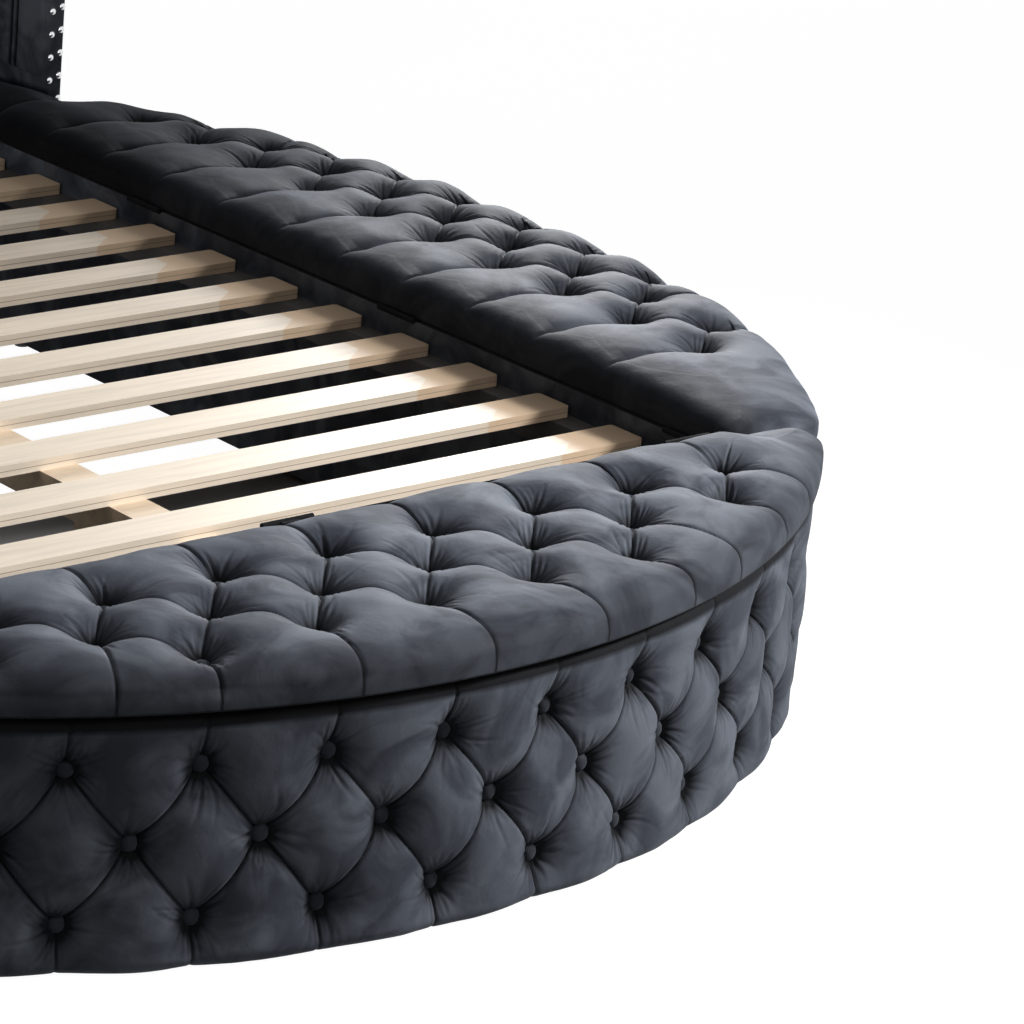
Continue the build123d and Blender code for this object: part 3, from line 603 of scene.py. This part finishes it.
def front_tufts(middle, outer):
    low, mid, top = wall_rows
    pitch = middle[1] - middle[0]
    folds = [
        (np.array((a, mid)), np.array((b, row)))
        for a in middle for b in outer for row in (low, top) if abs(b - a) < pitch
    ]
    pleats = [(np.array((b, top)), np.array((b, wall_top + wall_roll))) for b in outer]
    pleats += [(np.array((b, low)), np.array((b, wall_foot - wall_roll))) for b in outer]
    buttons = [np.array((a, mid)) for a in middle] + [np.array((b, row)) for b in outer for row in (low, top)]
    return {
        "buttons": buttons, "folds": folds, "pleats": pleats,
        "pull": 0.033, "pull_reach": 0.024, "deepest": 0.034, "nap": front_painted_shade,
        "creases": (12, 0.080, 0.0036), "fans": (0.060, 0.0040),
        "fold": 0.0065, "fold_end": 0.011, "fold_width": 0.055, "pleat": 0.0020,
    }


# Painted shade: the bench fronts are darkened a little all over, and a painted
# shadow darkens them along the top, under the foot lid's edge. The shadow fades round the sides
front_shade_all_over = 0.2
under_lid_shadow = 0.9
under_lid_shadow_height = (0.303, 0.009)
under_lid_shadow_fades = (0.6, 0.5)


def front_painted_shade(flat):
    aside = ramped(np.abs(flat[:, 0]), *under_lid_shadow_fades)
    return front_shade_all_over + under_lid_shadow * (ramped(flat[:, 1], *under_lid_shadow_height) * (1 - 0.75 * aside))


def bench_front(name, start, end, columns, node, seed):
    distances = spread(start + wall_roll, end - wall_roll, grid_step)
    heights = spread(wall_foot + wall_roll, wall_top - wall_roll, grid_step)
    flat = np.stack(np.meshgrid(distances, heights, indexing="ij"), axis=-1)
    rim = rolled_edge(wall_roll, 8, (wall_roll, 0.026), (wall_roll, 0.033), (wall_roll, 0.0405))
    tufts = front_tufts(*columns)
    front = sew_pad(name, flat, rim, *front_rings, tufts, on_outline, np.random.default_rng(seed))
    wear(front, velvet, "velvet", "frame", node)
    return [on_outline(*button, 0.0) for button in tufts["buttons"]], \
        [on_outline(*button, 1.0) - on_outline(*button, 0.0) for button in tufts["buttons"]]


joint_run = joint_distance()
front_places, front_ups = [], []
for part in (
    bench_front("foot_bench_front", -joint_run, joint_run, foot_front_columns(), "foot_wall_cover", 11),
    bench_front("right_bench_front", joint_run, outline_end, side_front_columns(1), "right_wall_cover", 12),
    bench_front("left_bench_front", -outline_end, -joint_run, side_front_columns(-1), "left_wall_cover", 13),
):
    front_places += part[0]
    front_ups += part[1]


# Covered buttons: the same velvet drawn over domed moulds 24 mm across, each
# pulled to its seat by twine
button_profile = (
    (0.0, 0.0075), (0.0035, 0.0073), (0.0065, 0.0064), (0.009, 0.0049), (0.0108, 0.0029),
    (0.0119, 0.0006), (0.012, -0.0014), (0.0108, -0.0034), (0.006, -0.0042), (0.0, -0.0042),
)
button_segments = 22
button_pucker = 0.05
button_shade = 0.75


def turned_pieces(name, places, ups, profile, segments, pucker, rng):
    profile = np.array(profile)
    turns = np.linspace(0, 2 * math.pi, segments, endpoint=False)
    points, faces = [], []
    for place, up in zip(places, ups):
        up = np.array(up) / np.linalg.norm(up)
        aside = np.cross(up, (0.0, 0.0, 1.0) if abs(up[2]) < 0.9 else (1.0, 0.0, 0.0))
        aside /= np.linalg.norm(aside)
        ahead = np.cross(up, aside)
        lobes = 1 + pucker * np.sin(turns * 9 + rng.uniform(0, 6)) * np.cos(turns * 4 + rng.uniform(0, 6))
        first = len(points)
        points.append(place + up * profile[0, 1])
        for radius, height in profile[1:-1]:
            ring = radius * (1 + (lobes - 1) * radius / profile[:, 0].max())
            points += list(place + up * height + np.outer(np.cos(turns) * ring, aside)
                           + np.outer(np.sin(turns) * ring, ahead))
        points.append(place + up * profile[-1, 1])
        for spoke in range(segments):
            after = (spoke + 1) % segments
            faces.append((first, first + 1 + spoke, first + 1 + after))
            for low in range(first + 1, first + 1 + (len(profile) - 3) * segments, segments):
                faces.append((low + spoke, low + segments + spoke, low + segments + after, low + after))
            last = len(points) - 1
            faces.append((last, last - segments + after, last - segments + spoke))
    mesh = bpy.data.meshes.new(name)
    mesh.from_pydata([tuple(point) for point in points], [], faces)
    mesh.shade_smooth()
    piece = bpy.data.objects.new(name, mesh)
    bpy.context.scene.collection.objects.link(piece)
    return piece


def cover_buttons(name, places, ups, seat, body, node, seed):
    seats = [np.array(place) - np.array(up) * seat for place, up in zip(places, ups)]
    rng = np.random.default_rng(seed)
    buttons = turned_pieces(name, seats, ups, button_profile, button_segments, button_pucker, rng)
    # The buttons are painted darker all over: painted shade, as they sit deep in the pits
    shade = np.full(len(buttons.data.vertices), button_shade)
    buttons.data.attributes.new("painted_shade", "FLOAT", "POINT").data.foreach_set("value", shade)
    wear(buttons, velvet, "button_velvet", body, node)


cover_buttons("bench_front_buttons", front_places, front_ups, wall_seat, "frame", "wall_buttons", 21)


# Lids: a plywood board under 50 mm foam and velvet, deep-buttoned in diamonds,
# with a full rolled edge that overhangs the bench front
lid_underside = 0.329
lid_top = 0.391
lid_roll = 0.038
lid_seat = 0.038
foot_lid_y = foot_y - 0.004
side_lid_y = foot_lid_y + 0.010
side_lid_x = 0.773
side_lid_head = head_y - 0.004
lid_closing = 0.004
lid_reach = 0.0335
lid_crown = (0.008, 0.070)
roll_turns = np.linspace(math.radians(20), math.pi / 2, 17)
lid_rim = [
    (lid_reach * (math.sin(turn) - math.sin(roll_turns[0])) / (1 - math.sin(roll_turns[0])),
     lid_crown[0] + (lid_roll - lid_crown[0]) * (1 - math.cos(turn) / math.cos(roll_turns[0])))
    for turn in roll_turns
]
lid_rim += [(0.0338, 0.0412), (0.0341, 0.0448), (0.0342, 0.0488), (0.0342, 0.0525), (0.0340, 0.0560),
            (0.0337, 0.0592), (0.0333, 0.0615), (0.0327, 0.0625), (0.0323, 0.0600)]
lid_rings = (7, 3)
lid_tufting = {
    "pull": 0.038, "deepest": 0.044, "crown": lid_crown,
    "creases": (10, 0.080, 0.0034), "fans": (0.064, 0.0046),
    "fold": 0.0070, "fold_end": 0.010, "fold_width": 0.056, "pleat": 0.0022, "tuck": 0.017,
}


def near_pairs(row, next_row, reach):
    return [
        (np.array(a), np.array(b)) for a in row for b in next_row if math.dist(a, b) < reach
    ]


def straight_out(place, length):
    x, y = place
    middle_y = min(max(y, arc_y), straight_y)
    out = np.array((x, y - middle_y))
    return np.array(place), np.array(place) + out / np.linalg.norm(out) * length


def sew_lid(name, flat, rows, stitching, reach, place, body, nodes, seed):
    buttons = [np.array(spot) for row in rows for spot in row]
    tufts = dict(lid_tufting, buttons=buttons, pull_reach=reach, **stitching)
    rng = np.random.default_rng(seed)
    lid = sew_pad(f"{name}_lid_pad", flat, lid_rim, *lid_rings, tufts, place, rng)
    wear(lid, velvet, "velvet", body, nodes[0])
    places = [place(*button, 0.0) for button in buttons]
    cover_buttons(f"{name}_lid_covered_buttons", places, [(0.0, 0.0, 1.0)] * len(places), lid_seat, body,
                  nodes[1], seed + 1)


# Foot lid: three rows, the middle one half a pitch out, on a lens-shaped board
foot_tuft_pitch = 0.166
foot_row_gap = 0.093
foot_tuft_shift = -0.030
foot_lid_depth = 0.440
foot_tip_width = 0.006
foot_closing = (0.73, 0.06)


def foot_lid_flat():
    radius = plan_radius - lid_roll
    inner = foot_lid_y - lid_reach
    tip = math.sqrt(radius ** 2 - (arc_y - inner + foot_tip_width) ** 2)
    x = spread(-tip, tip, grid_step)
    near = arc_y - np.sqrt(radius ** 2 - x ** 2)
    closing = ramped(np.abs(x), *foot_closing)
    far = np.maximum(inner + lid_closing * closing * closing * (3 - 2 * closing), near + foot_tip_width)
    share = spread(0, 1, grid_step / (foot_lid_depth - 2 * lid_roll))
    return np.stack(np.broadcast_arrays(x[:, None], near[:, None] + (far - near)[:, None] * share), axis=-1)


# The pad is a little thicker at the back, over the hinges, and thinner where it
# opens past the side lids and towards its tips
foot_back = (foot_lid_y - 0.13, 0.08)
foot_back_thicker = 0.006
foot_beside = (0.705, 0.06)
foot_beside_thinner = 0.016
foot_tips = (0.70, 0.33)
foot_tips_thinner = 0.018


def raised(up, thicker):
    return lid_top + up + thicker * np.clip(1 + up / (lid_top - lid_underside), 0, 1)


def on_foot_lid(x, y, up):
    beside, back = ramped(np.abs(x), *foot_beside), ramped(y, *foot_back)
    thicker = (foot_back_thicker - foot_beside_thinner * beside) * back
    thicker = thicker - foot_tips_thinner * ramped(np.abs(x), *foot_tips) ** 2
    return np.stack((x, y, raised(up, thicker)), axis=-1)


# Painted shade darkens the front roll, which turns down away from the light
roll_painted_shade = 0.55
front_roll = (1.140, 0.06)


def foot_lid_painted_shade(flat):
    return roll_painted_shade * ramped(np.hypot(flat[:, 0], flat[:, 1] - arc_y), *front_roll)


def sew_foot_lid():
    first = foot_lid_y - 0.25 * foot_lid_depth
    rows = [
        [(foot_tuft_shift + foot_tuft_pitch * step, first) for step in range(-4, 5)],
        [(foot_tuft_shift + foot_tuft_pitch * (step + 0.5), first - foot_row_gap) for step in range(-4, 4)],
        [(foot_tuft_shift + foot_tuft_pitch * step, first - 2 * foot_row_gap) for step in range(-2, 3)],
    ]
    folds = near_pairs(rows[0], rows[1], foot_tuft_pitch) + near_pairs(rows[1], rows[2], foot_tuft_pitch)
    pleats = [(np.array(place), np.array(place) + (0, foot_lid_depth / 2)) for place in rows[0]]
    edge_row = rows[2] + [place for place in rows[1] if abs(place[0]) > 2 * foot_tuft_pitch]
    pleats += [straight_out(place, foot_lid_depth / 2) for place in edge_row]
    pleats += [straight_out(rows[0][end], foot_lid_depth / 2) for end in (0, -1)]
    stitching = {"folds": folds, "pleats": pleats, "nap": foot_lid_painted_shade}
    sew_lid("foot", foot_lid_flat(), rows, stitching, 0.027, on_foot_lid, "foot_lid",
            ("foot_lid_cushion", "foot_lid_buttons"), 31)


sew_foot_lid()


# Side lids: three columns that follow the curved board, longest beside the well
side_tuft_pitch = 0.148
side_column_first = 0.966
side_column_gap = 0.092
side_tuft_middle = 0.179
side_edge_margin = 0.044
side_lid_width = 0.437
side_tuck_length = 0.20
side_pleat_length = 0.25
tail_rounding = 0.03
tail_rounding_from = 0.5


def half_width(y, inset):
    radius = plan_radius - inset
    beyond = np.maximum(np.maximum(arc_y - y, y - straight_y), 0)
    round_part = np.sqrt(np.maximum(radius ** 2 - beyond ** 2, 0))
    tail_part = np.where(y > straight_y, tail_half_width - inset, 0)
    rounding = tail_rounding ** 2 * (y > tail_rounding_from)
    return (round_part + tail_part + np.sqrt((round_part - tail_part) ** 2 + rounding)) / 2


def side_lid_flat(side):
    y = spread(side_lid_y + lid_reach - lid_closing, side_lid_head - lid_reach, grid_step)
    inner = np.full(len(y), side_lid_x + lid_reach)
    outer = half_width(y, lid_roll)
    share = spread(0, 1, grid_step / (side_lid_width - 2 * lid_roll))
    if side > 0:
        inner, outer = outer, inner
    x = side * (inner[:, None] + (outer - inner)[:, None] * share)
    return np.stack(np.broadcast_arrays(x, y[:, None]), axis=-1)


# The pad thins towards the headboard, and a little towards the foot
side_head = (1.0, 0.2)
side_head_thinner = 0.030
side_foot = (0.45, 0.38)
side_foot_thinner = 0.015


def on_side_lid(x, y, up):
    thinned = side_head_thinner * ramped(y, *side_head) ** 2 + side_foot_thinner * ramped(-y, *side_foot) ** 2
    return np.stack((x, y, raised(up, -thinned)), axis=-1)


# Painted shade darkens the roll over the inner edge and the end towards the
# headboard
inner_edge = 0.885
inner_edge_width = 0.08
inner_edge_painted_shade = 0.78
to_head = (0.40, 0.7)
head_end_painted_shade = 0.9


def side_lid_painted_shade(flat):
    over_edge = np.clip((inner_edge - np.abs(flat[:, 0])) / inner_edge_width, 0, 1)
    return inner_edge_painted_shade * over_edge + head_end_painted_shade * ramped(flat[:, 1], *to_head)


def side_lid_columns(side):
    columns = []
    for number, (first, last) in enumerate(((-4.5, 5.5), (-4, 4), (-2.5, 2.5))):
        column = []
        for step in range(int(last - first) + 1):
            y = arc_y + side_tuft_middle + (first + step) * side_tuft_pitch
            x = min(side_column_first + number * side_column_gap, half_width(np.array(y), side_edge_margin))
            column.append((side * x, y))
        columns.append(column)
    return columns


def sew_side_lid(name, side, seed):
    columns = side_lid_columns(side)
    inner_column, middle_column, outer_column = columns
    folds = near_pairs(inner_column, middle_column, side_tuft_pitch)
    folds += near_pairs(middle_column, outer_column, side_tuft_pitch)
    reach = max(abs(y - arc_y - side_tuft_middle) for x, y in outer_column)
    tucks = [(np.array(place), np.array(place) - (side * side_tuck_length, 0)) for place in inner_column]
    edge_column = outer_column + [
        place for place in middle_column if abs(place[1] - arc_y - side_tuft_middle) > reach
    ]
    pleats = [straight_out(place, side_pleat_length) for place in edge_column]
    stitching = {"folds": folds, "pleats": pleats, "tucks": tucks, "nap": side_lid_painted_shade}
    sew_lid(name, side_lid_flat(side), columns, stitching, 0.032, on_side_lid, f"{name}_lid",
            (f"{name}_lid_cushion", f"{name}_lid_buttons"), seed)


sew_side_lid("right", 1, 41)
sew_side_lid("left", -1, 51)
dress(["foot_lid_board", "left_lid_board", "right_lid_board"], plywood)


# Headboard: foam and velvet buttoned in tall diamonds above a plain padded
# band, on a plywood board closed with black cloth behind
headboard_half = 0.939
headboard_top = 1.473
band_top = 0.380
headboard_roll = 0.018
headboard_seat = 0.026
headboard_columns = 10
headboard_row_count = 9
headboard_first_row = 0.520
headboard_row_gap = 0.105
headboard_pleat_past = 0.03
headboard_step = 0.005
headboard_rings = (2, 2)
band_low = 0.008
band_roll = 0.010
band_step = 0.012
plain_rings = (1, 1)


def on_headboard(x, z, out):
    return np.stack((x, head_y - out, z), axis=-1)


def on_band(x, z, out):
    return np.stack((x, band_y - out, z), axis=-1)


def headboard_rows():
    pitch = 2 * headboard_half / headboard_columns
    rows = []
    for number in range(headboard_row_count):
        count = headboard_columns - 1 + number % 2
        z = headboard_first_row + headboard_row_gap * number
        rows.append([(pitch * (step - (count - 1) / 2), z) for step in range(count)])
    return rows, pitch


def flat_panel(half_wide, low, high, roll, step):
    across, up = spread(-half_wide + roll, half_wide - roll, step), spread(low + roll, high - roll, step)
    return np.stack(np.meshgrid(across, up, indexing="ij"), axis=-1)


def sew_headboard():
    rows, pitch = headboard_rows()
    folds = [
        (np.array(a), np.array(b))
        for row, next_row in zip(rows, rows[1:]) for a in row for b in next_row if abs(b[0] - a[0]) < pitch
    ]
    low, top = band_top - headboard_pleat_past, headboard_top + headboard_pleat_past
    pleats = [(np.array(place), np.array((place[0], low))) for place in rows[0]]
    pleats += [(np.array(place), np.array((place[0], top))) for place in rows[-1]]
    buttons = [np.array(place) for row in rows for place in row]
    tufts = {
        "buttons": buttons, "folds": folds, "pleats": pleats,
        "pull": 0.030, "pull_reach": 0.026, "deepest": 0.034,
        "creases": (7, 0.075, 0.0026), "fans": (0.064, 0.0040),
        "fold": 0.006, "fold_end": 0.010, "fold_width": 0.060, "pleat": 0.005,
    }
    flat = flat_panel(headboard_half, band_top, headboard_top, headboard_roll, headboard_step)
    rim = rolled_edge(headboard_roll, 6, (headboard_roll, 0.030), (headboard_roll, 0.043))
    rng = np.random.default_rng(61)
    pad = sew_pad("headboard_pad", flat, rim, *headboard_rings, tufts, on_headboard, rng)
    wear(pad, velvet, "velvet", "frame", "headboard_cushion")
    places = [on_headboard(*button, 0.0) for button in buttons]
    cover_buttons("headboard_covered_buttons", places, [(0.0, -1.0, 0.0)] * len(places), headboard_seat,
                  "frame", "headboard_buttons", 62)


def sew_band():
    flat = flat_panel(headboard_half, band_low, band_top, band_roll, band_step)
    plain = {"buttons": [], "folds": [], "pleats": [], "deepest": 0.01}
    rim = rolled_edge(band_roll, 5, (band_roll, 0.020), (band_roll, 0.032))
    rng = np.random.default_rng(63)
    band = sew_pad("headboard_plain_band", flat, rim, *plain_rings, plain, on_band, rng)
    wear(band, velvet, "velvet", "frame", "headboard_band")


sew_headboard()
sew_band()
dust_cloth, dust_cloth_shader = new_finish("black dust cloth", (0.012, 0.012, 0.013), 0.9)
bump(dust_cloth, dust_cloth_shader, stretched_noise(dust_cloth, (1, 1, 1), 700, 2), 0.3, 0.0005)
dress(["headboard_back_cloth"], dust_cloth)


# Wings: plywood sides wrapped in thin foam and plain velvet, rounded at the
# front top corner, closed along the front with two columns of silver nails
wing_thickness = 0.036
wing_depth = 0.200
wing_corner = 0.120
wing_roll = 0.009
headboard_outer = 0.975
back_y = 1.27925
wing_low = 0.008


def wing_outline(inset):
    front, back = head_y - wing_depth + inset, back_y - inset
    low, top = wing_low + inset, headboard_top - inset
    radius = wing_corner - inset
    turns = np.linspace(0, math.pi / 2, 24)
    corner = [
        (front + radius - radius * math.cos(turn), top - radius + radius * math.sin(turn)) for turn in turns
    ]
    return corner + [(back, top), (back, low), (front, low)]


def cover_wing(name, side):
    inner, outer = wing_outline(wing_roll), wing_outline(0)
    middle_out = np.array(outer) - np.array(inner)
    loop = np.array(inner)
    turns = np.linspace(0, math.pi / 2, 6)
    profile = [(math.sin(turn), wing_roll * (1 - math.cos(turn))) for turn in turns]
    profile += [(out, wing_thickness - deep) for out, deep in reversed(profile)]
    points, faces, size = [], [], len(loop)
    for out, deep in profile:
        ring = loop + middle_out * out
        x = side * (headboard_outer - wing_thickness + deep)
        points += [(x, y, z) for y, z in ring]
    for ring in range(len(profile) - 1):
        for entry in range(size):
            low, after = ring * size, (entry + 1) % size
            face = (low + entry, low + after, low + size + after, low + size + entry)
            faces.append(face if side > 0 else face[::-1])
    first, last = tuple(range(size)), tuple(range((len(profile) - 1) * size, len(profile) * size))
    faces += [first[::-1], last] if side > 0 else [first, last[::-1]]
    mesh = bpy.data.meshes.new(name)
    mesh.from_pydata(points, [], faces)
    mesh.validate()
    mesh.shade_smooth()
    wing = bpy.data.objects.new(name, mesh)
    bpy.context.scene.collection.objects.link(wing)
    wear(wing, velvet, "velvet", "frame", f"{name}_cover")


# The inner face carries a thin sewn pad with three long pleats
wing_pad_low = 0.385
wing_pad_top = headboard_top - 0.012
wing_pad_front_margin = 0.006
wing_pad_back = head_y - 0.003
wing_pad_width = 0.17
wing_pad_roll = 0.012
wing_pad_flatness = 0.7
wing_pad_proud = 0.008
wing_pleats = (1.090, 1.104, 1.145)


def sew_wing_pad(name, side):
    z = spread(wing_pad_low + wing_pad_roll, wing_pad_top - wing_pad_roll, headboard_step)
    beyond = np.maximum(z - (headboard_top - wing_corner), 0)
    edge = head_y - wing_depth + wing_corner - np.sqrt(wing_corner ** 2 - beyond ** 2)
    front = edge + wing_pad_front_margin + wing_pad_roll
    back = np.full(len(z), wing_pad_back - wing_pad_roll)
    first, last = (-back, -front) if side > 0 else (front, back)
    share = spread(0, 1, headboard_step / wing_pad_width)[:, None]
    flat = np.stack(np.broadcast_arrays(first + (last - first) * share, z), axis=-1)
    pleats = [
        (np.array((-side * y, wing_pad_low)), np.array((-side * y, headboard_top))) for y in wing_pleats
    ]
    tufts = {
        "buttons": [], "folds": pleats, "pleats": [], "deepest": 0.007, "fans": (0.05, 0.0010),
        "fold": 0.0050, "fold_end": 0.0050, "fold_width": 0.030,
    }
    rim = [(out, down * wing_pad_flatness) for out, down in rolled_edge(wing_pad_roll, 6)]
    rim.append((wing_pad_roll, 0.010))

    def on_wing(along, height, up):
        x = side * (headboard_outer - wing_thickness - wing_pad_proud - up)
        return np.stack((x, -side * along, height), axis=-1)

    pad = sew_pad(name, flat, rim, *plain_rings, tufts, on_wing, np.random.default_rng(65))
    wear(pad, velvet, "velvet", "frame")


cover_wing("left_wing", -1)
cover_wing("right_wing", 1)
sew_wing_pad("left_wing_pad", -1)
sew_wing_pad("right_wing_pad", 1)


# Nails: silver domes 12 mm across, driven into each wing's front edge in two
# columns, 39 mm apart, the outer column a little higher than the inner one
nail_spacing = 0.039
nail_column_gap = 0.0185
nail_low = 0.0705
nail_stagger = 0.007
nail_segments = 16
nail_profile = (
    (0.0, 0.0036), (0.002, 0.0033), (0.0038, 0.0025), (0.0052, 0.0012), (0.006, 0.0), (0.0057, -0.0006),
    (0.0, -0.0006),
)


def silver():
    finish, shader = new_finish("polished silver", (0.78, 0.78, 0.8), 0.3)
    shader.inputs["Metallic"].default_value = 1.0
    bump(finish, shader, stretched_noise(finish, (1, 1, 1), 260, 3), 0.05, 0.0003)
    return finish


def wing_edge(run, x):
    front = head_y - wing_depth
    straight = headboard_top - wing_corner - nail_low
    arc = wing_corner * math.pi / 2
    turn = min(max((run - straight) / wing_corner, 0), math.pi / 2)
    y = front + wing_corner * (1 - math.cos(turn)) + max(run - straight - arc, 0)
    z = nail_low + min(run, straight) + wing_corner * math.sin(turn)
    return (x, y, z), (0.0, -math.cos(turn), math.sin(turn))


def drive_nails():
    run_end = headboard_top - wing_corner - nail_low + wing_corner * math.pi / 2 + wing_depth - wing_corner
    places, ups = [], []
    for side in (-1, 1):
        for column in (-1, 1):
            x = side * (headboard_outer - wing_thickness / 2) + column * nail_column_gap / 2
            for step in range(int(run_end / nail_spacing) + 1):
                place, up = wing_edge(step * nail_spacing + nail_stagger * (column == side), x)
                places.append(np.array(place))
                ups.append(up)
    rng = np.random.default_rng(71)
    nails = turned_pieces("silver_nails", places, ups, nail_profile, nail_segments, 0.0, rng)
    wear(nails, silver(), "nail_silver", "frame", "wing_nailheads")


drive_nails()


# Studio: a white floor and background, soft light from the right and above,
# and the camera at the photograph's place
def larger(finish, one, other):
    node = add(finish, "ShaderNodeMath", operation="MAXIMUM")
    wire(finish, one, node.inputs[0])
    wire(finish, other, node.inputs[1])
    return node.outputs[0]


# The floor glows white outside the bed's plan and, within it, from a line
# across the well towards the head. Beside the foot bench it stays dark
floor_glow = 0.98
floor_reach = 40
bed_edge = (1.08, 1.12)
well_line = (0.15, 0.23)


def white_floor():
    finish, shader = new_finish("white floor", (0.22, 0.22, 0.22), 0.9)
    shader.inputs["Specular IOR Level"].default_value = 0.0
    path = add(finish, "ShaderNodeLightPath")
    seen = [path.outputs["Is Camera Ray"], path.outputs["Is Glossy Ray"], path.outputs["Is Transmission Ray"]]
    spot = add(finish, "ShaderNodeNewGeometry")
    parts = add(finish, "ShaderNodeSeparateXYZ")
    wire(finish, spot.outputs["Position"], parts.inputs["Vector"])
    from_middle = add(finish, "ShaderNodeVectorMath", {1: (0, arc_y, 0)}, operation="DISTANCE")
    wire(finish, spot.outputs["Position"], from_middle.inputs[0])
    outside = add(finish, "ShaderNodeMapRange", {"From Min": bed_edge[0], "From Max": bed_edge[1]})
    wire(finish, from_middle.outputs["Value"], outside.inputs["Value"])
    past_foot = add(finish, "ShaderNodeMapRange", {"From Min": well_line[0], "From Max": well_line[1]})
    wire(finish, parts.outputs["Y"], past_foot.inputs["Value"])
    glow = add(finish, "ShaderNodeEmission", {"Color": (1, 1, 1, 1)})
    first = larger(finish, larger(finish, seen[0], seen[1]), seen[2])
    clear = larger(finish, outside.outputs["Result"], past_foot.outputs["Result"])
    level = add(finish, "ShaderNodeMath", operation="MULTIPLY")
    wire(finish, first, level.inputs[0])
    wire(finish, clear, level.inputs[1])
    bright = add(finish, "ShaderNodeMath", {1: floor_glow}, operation="MULTIPLY")
    wire(finish, level.outputs[0], bright.inputs[0])
    wire(finish, bright.outputs[0], glow.inputs["Strength"])
    both = add(finish, "ShaderNodeAddShader")
    wire(finish, shader.outputs[0], both.inputs[0])
    wire(finish, glow.outputs[0], both.inputs[1])
    output = finish.node_tree.nodes["Material Output"]
    wire(finish, both.outputs[0], output.inputs["Surface"])
    return finish


def lay_floor():
    mesh = bpy.data.meshes.new("studio_floor")
    reach = floor_reach
    mesh.from_pydata([(-reach, -reach, 0), (reach, -reach, 0), (reach, reach, 0), (-reach, reach, 0)], [],
                     [(0, 1, 2, 3)])
    mesh.materials.append(white_floor())
    floor = bpy.data.objects.new("studio_floor", mesh)
    bpy.context.scene.collection.objects.link(floor)


# A little even light comes from all round
ambient = 0.052


def set_world():
    world = bpy.data.worlds.new("studio")
    bpy.context.scene.world = world
    world.use_nodes = True
    path = add(world, "ShaderNodeLightPath")
    seen = larger(world, path.outputs["Is Camera Ray"], path.outputs["Is Glossy Ray"])
    seen = larger(world, seen, path.outputs["Is Transmission Ray"])
    level = add(world, "ShaderNodeMapRange", {"To Min": ambient, "To Max": 1.0})
    wire(world, seen, level.inputs["Value"])
    background = world.node_tree.nodes["Background"]
    wire(world, level.outputs["Result"], background.inputs["Strength"])
    background.inputs["Color"].default_value = (1, 1, 1, 1)


def soft_light(name, place, target, size, power, spread):
    light = bpy.data.lights.new(name, "AREA")
    light.shape = "RECTANGLE"
    light.size, light.size_y = size
    light.energy = power
    light.spread = math.radians(spread)
    lamp = bpy.data.objects.new(name, light)
    bpy.context.scene.collection.objects.link(lamp)
    lamp.location = place
    lamp.visible_camera = False
    aim = Vector(target) - Vector(place)
    lamp.rotation_euler = aim.to_track_quat("-Z", "Y").to_euler()


def set_camera():
    yaw, pitch, roll = 0.7453, 0.34, 0.0911
    forward = np.array((math.sin(yaw) * math.cos(pitch), math.cos(yaw) * math.cos(pitch), -math.sin(pitch)))
    right = np.array((math.cos(yaw), -math.sin(yaw), 0.0))
    up = np.cross(right, forward)
    rolled_right = math.cos(roll) * right + math.sin(roll) * up
    rolled_up = math.cos(roll) * up - math.sin(roll) * right
    lens = bpy.data.cameras.new("camera")
    lens.lens = 154.74
    lens.sensor_width = 36.0
    lens.clip_end = 200
    camera = bpy.data.objects.new("camera", lens)
    bpy.context.scene.collection.objects.link(camera)
    columns = np.stack((rolled_right, rolled_up, -forward), axis=1)
    place = (-3.263, -4.778, 2.214)
    turn = [[*columns[axis], place[axis]] for axis in range(3)] + [[0, 0, 0, 1]]
    camera.matrix_world = Matrix(turn)
    bpy.context.scene.camera = camera


lay_floor()
set_world()
soft_light("key", (4.0, -3.2, 3.1), (0.3, -0.95, 0.3), (1.0, 0.8), 16.2, 34)
soft_light("rim", (2.8, 1.6, 1.3), (1.0, -0.35, 0.36), (0.6, 0.5), 6.5, 44)
soft_light("top", (-0.7, 0.5, 3.8), (-0.3, 0.5, 0.25), (0.6, 1.2), 2.0, 32)
soft_light("front", (0.7, -4.6, 3.4), (0.0, -1.15, 0.2), (1.4, 1.0), 2.3, 32)
soft_light("wing", (-2.6, -1.2, 1.3), (0.94, 1.1, 0.70), (0.4, 0.4), 0.39, 18)
set_camera()
bpy.context.scene.view_settings.view_transform = "Standard"
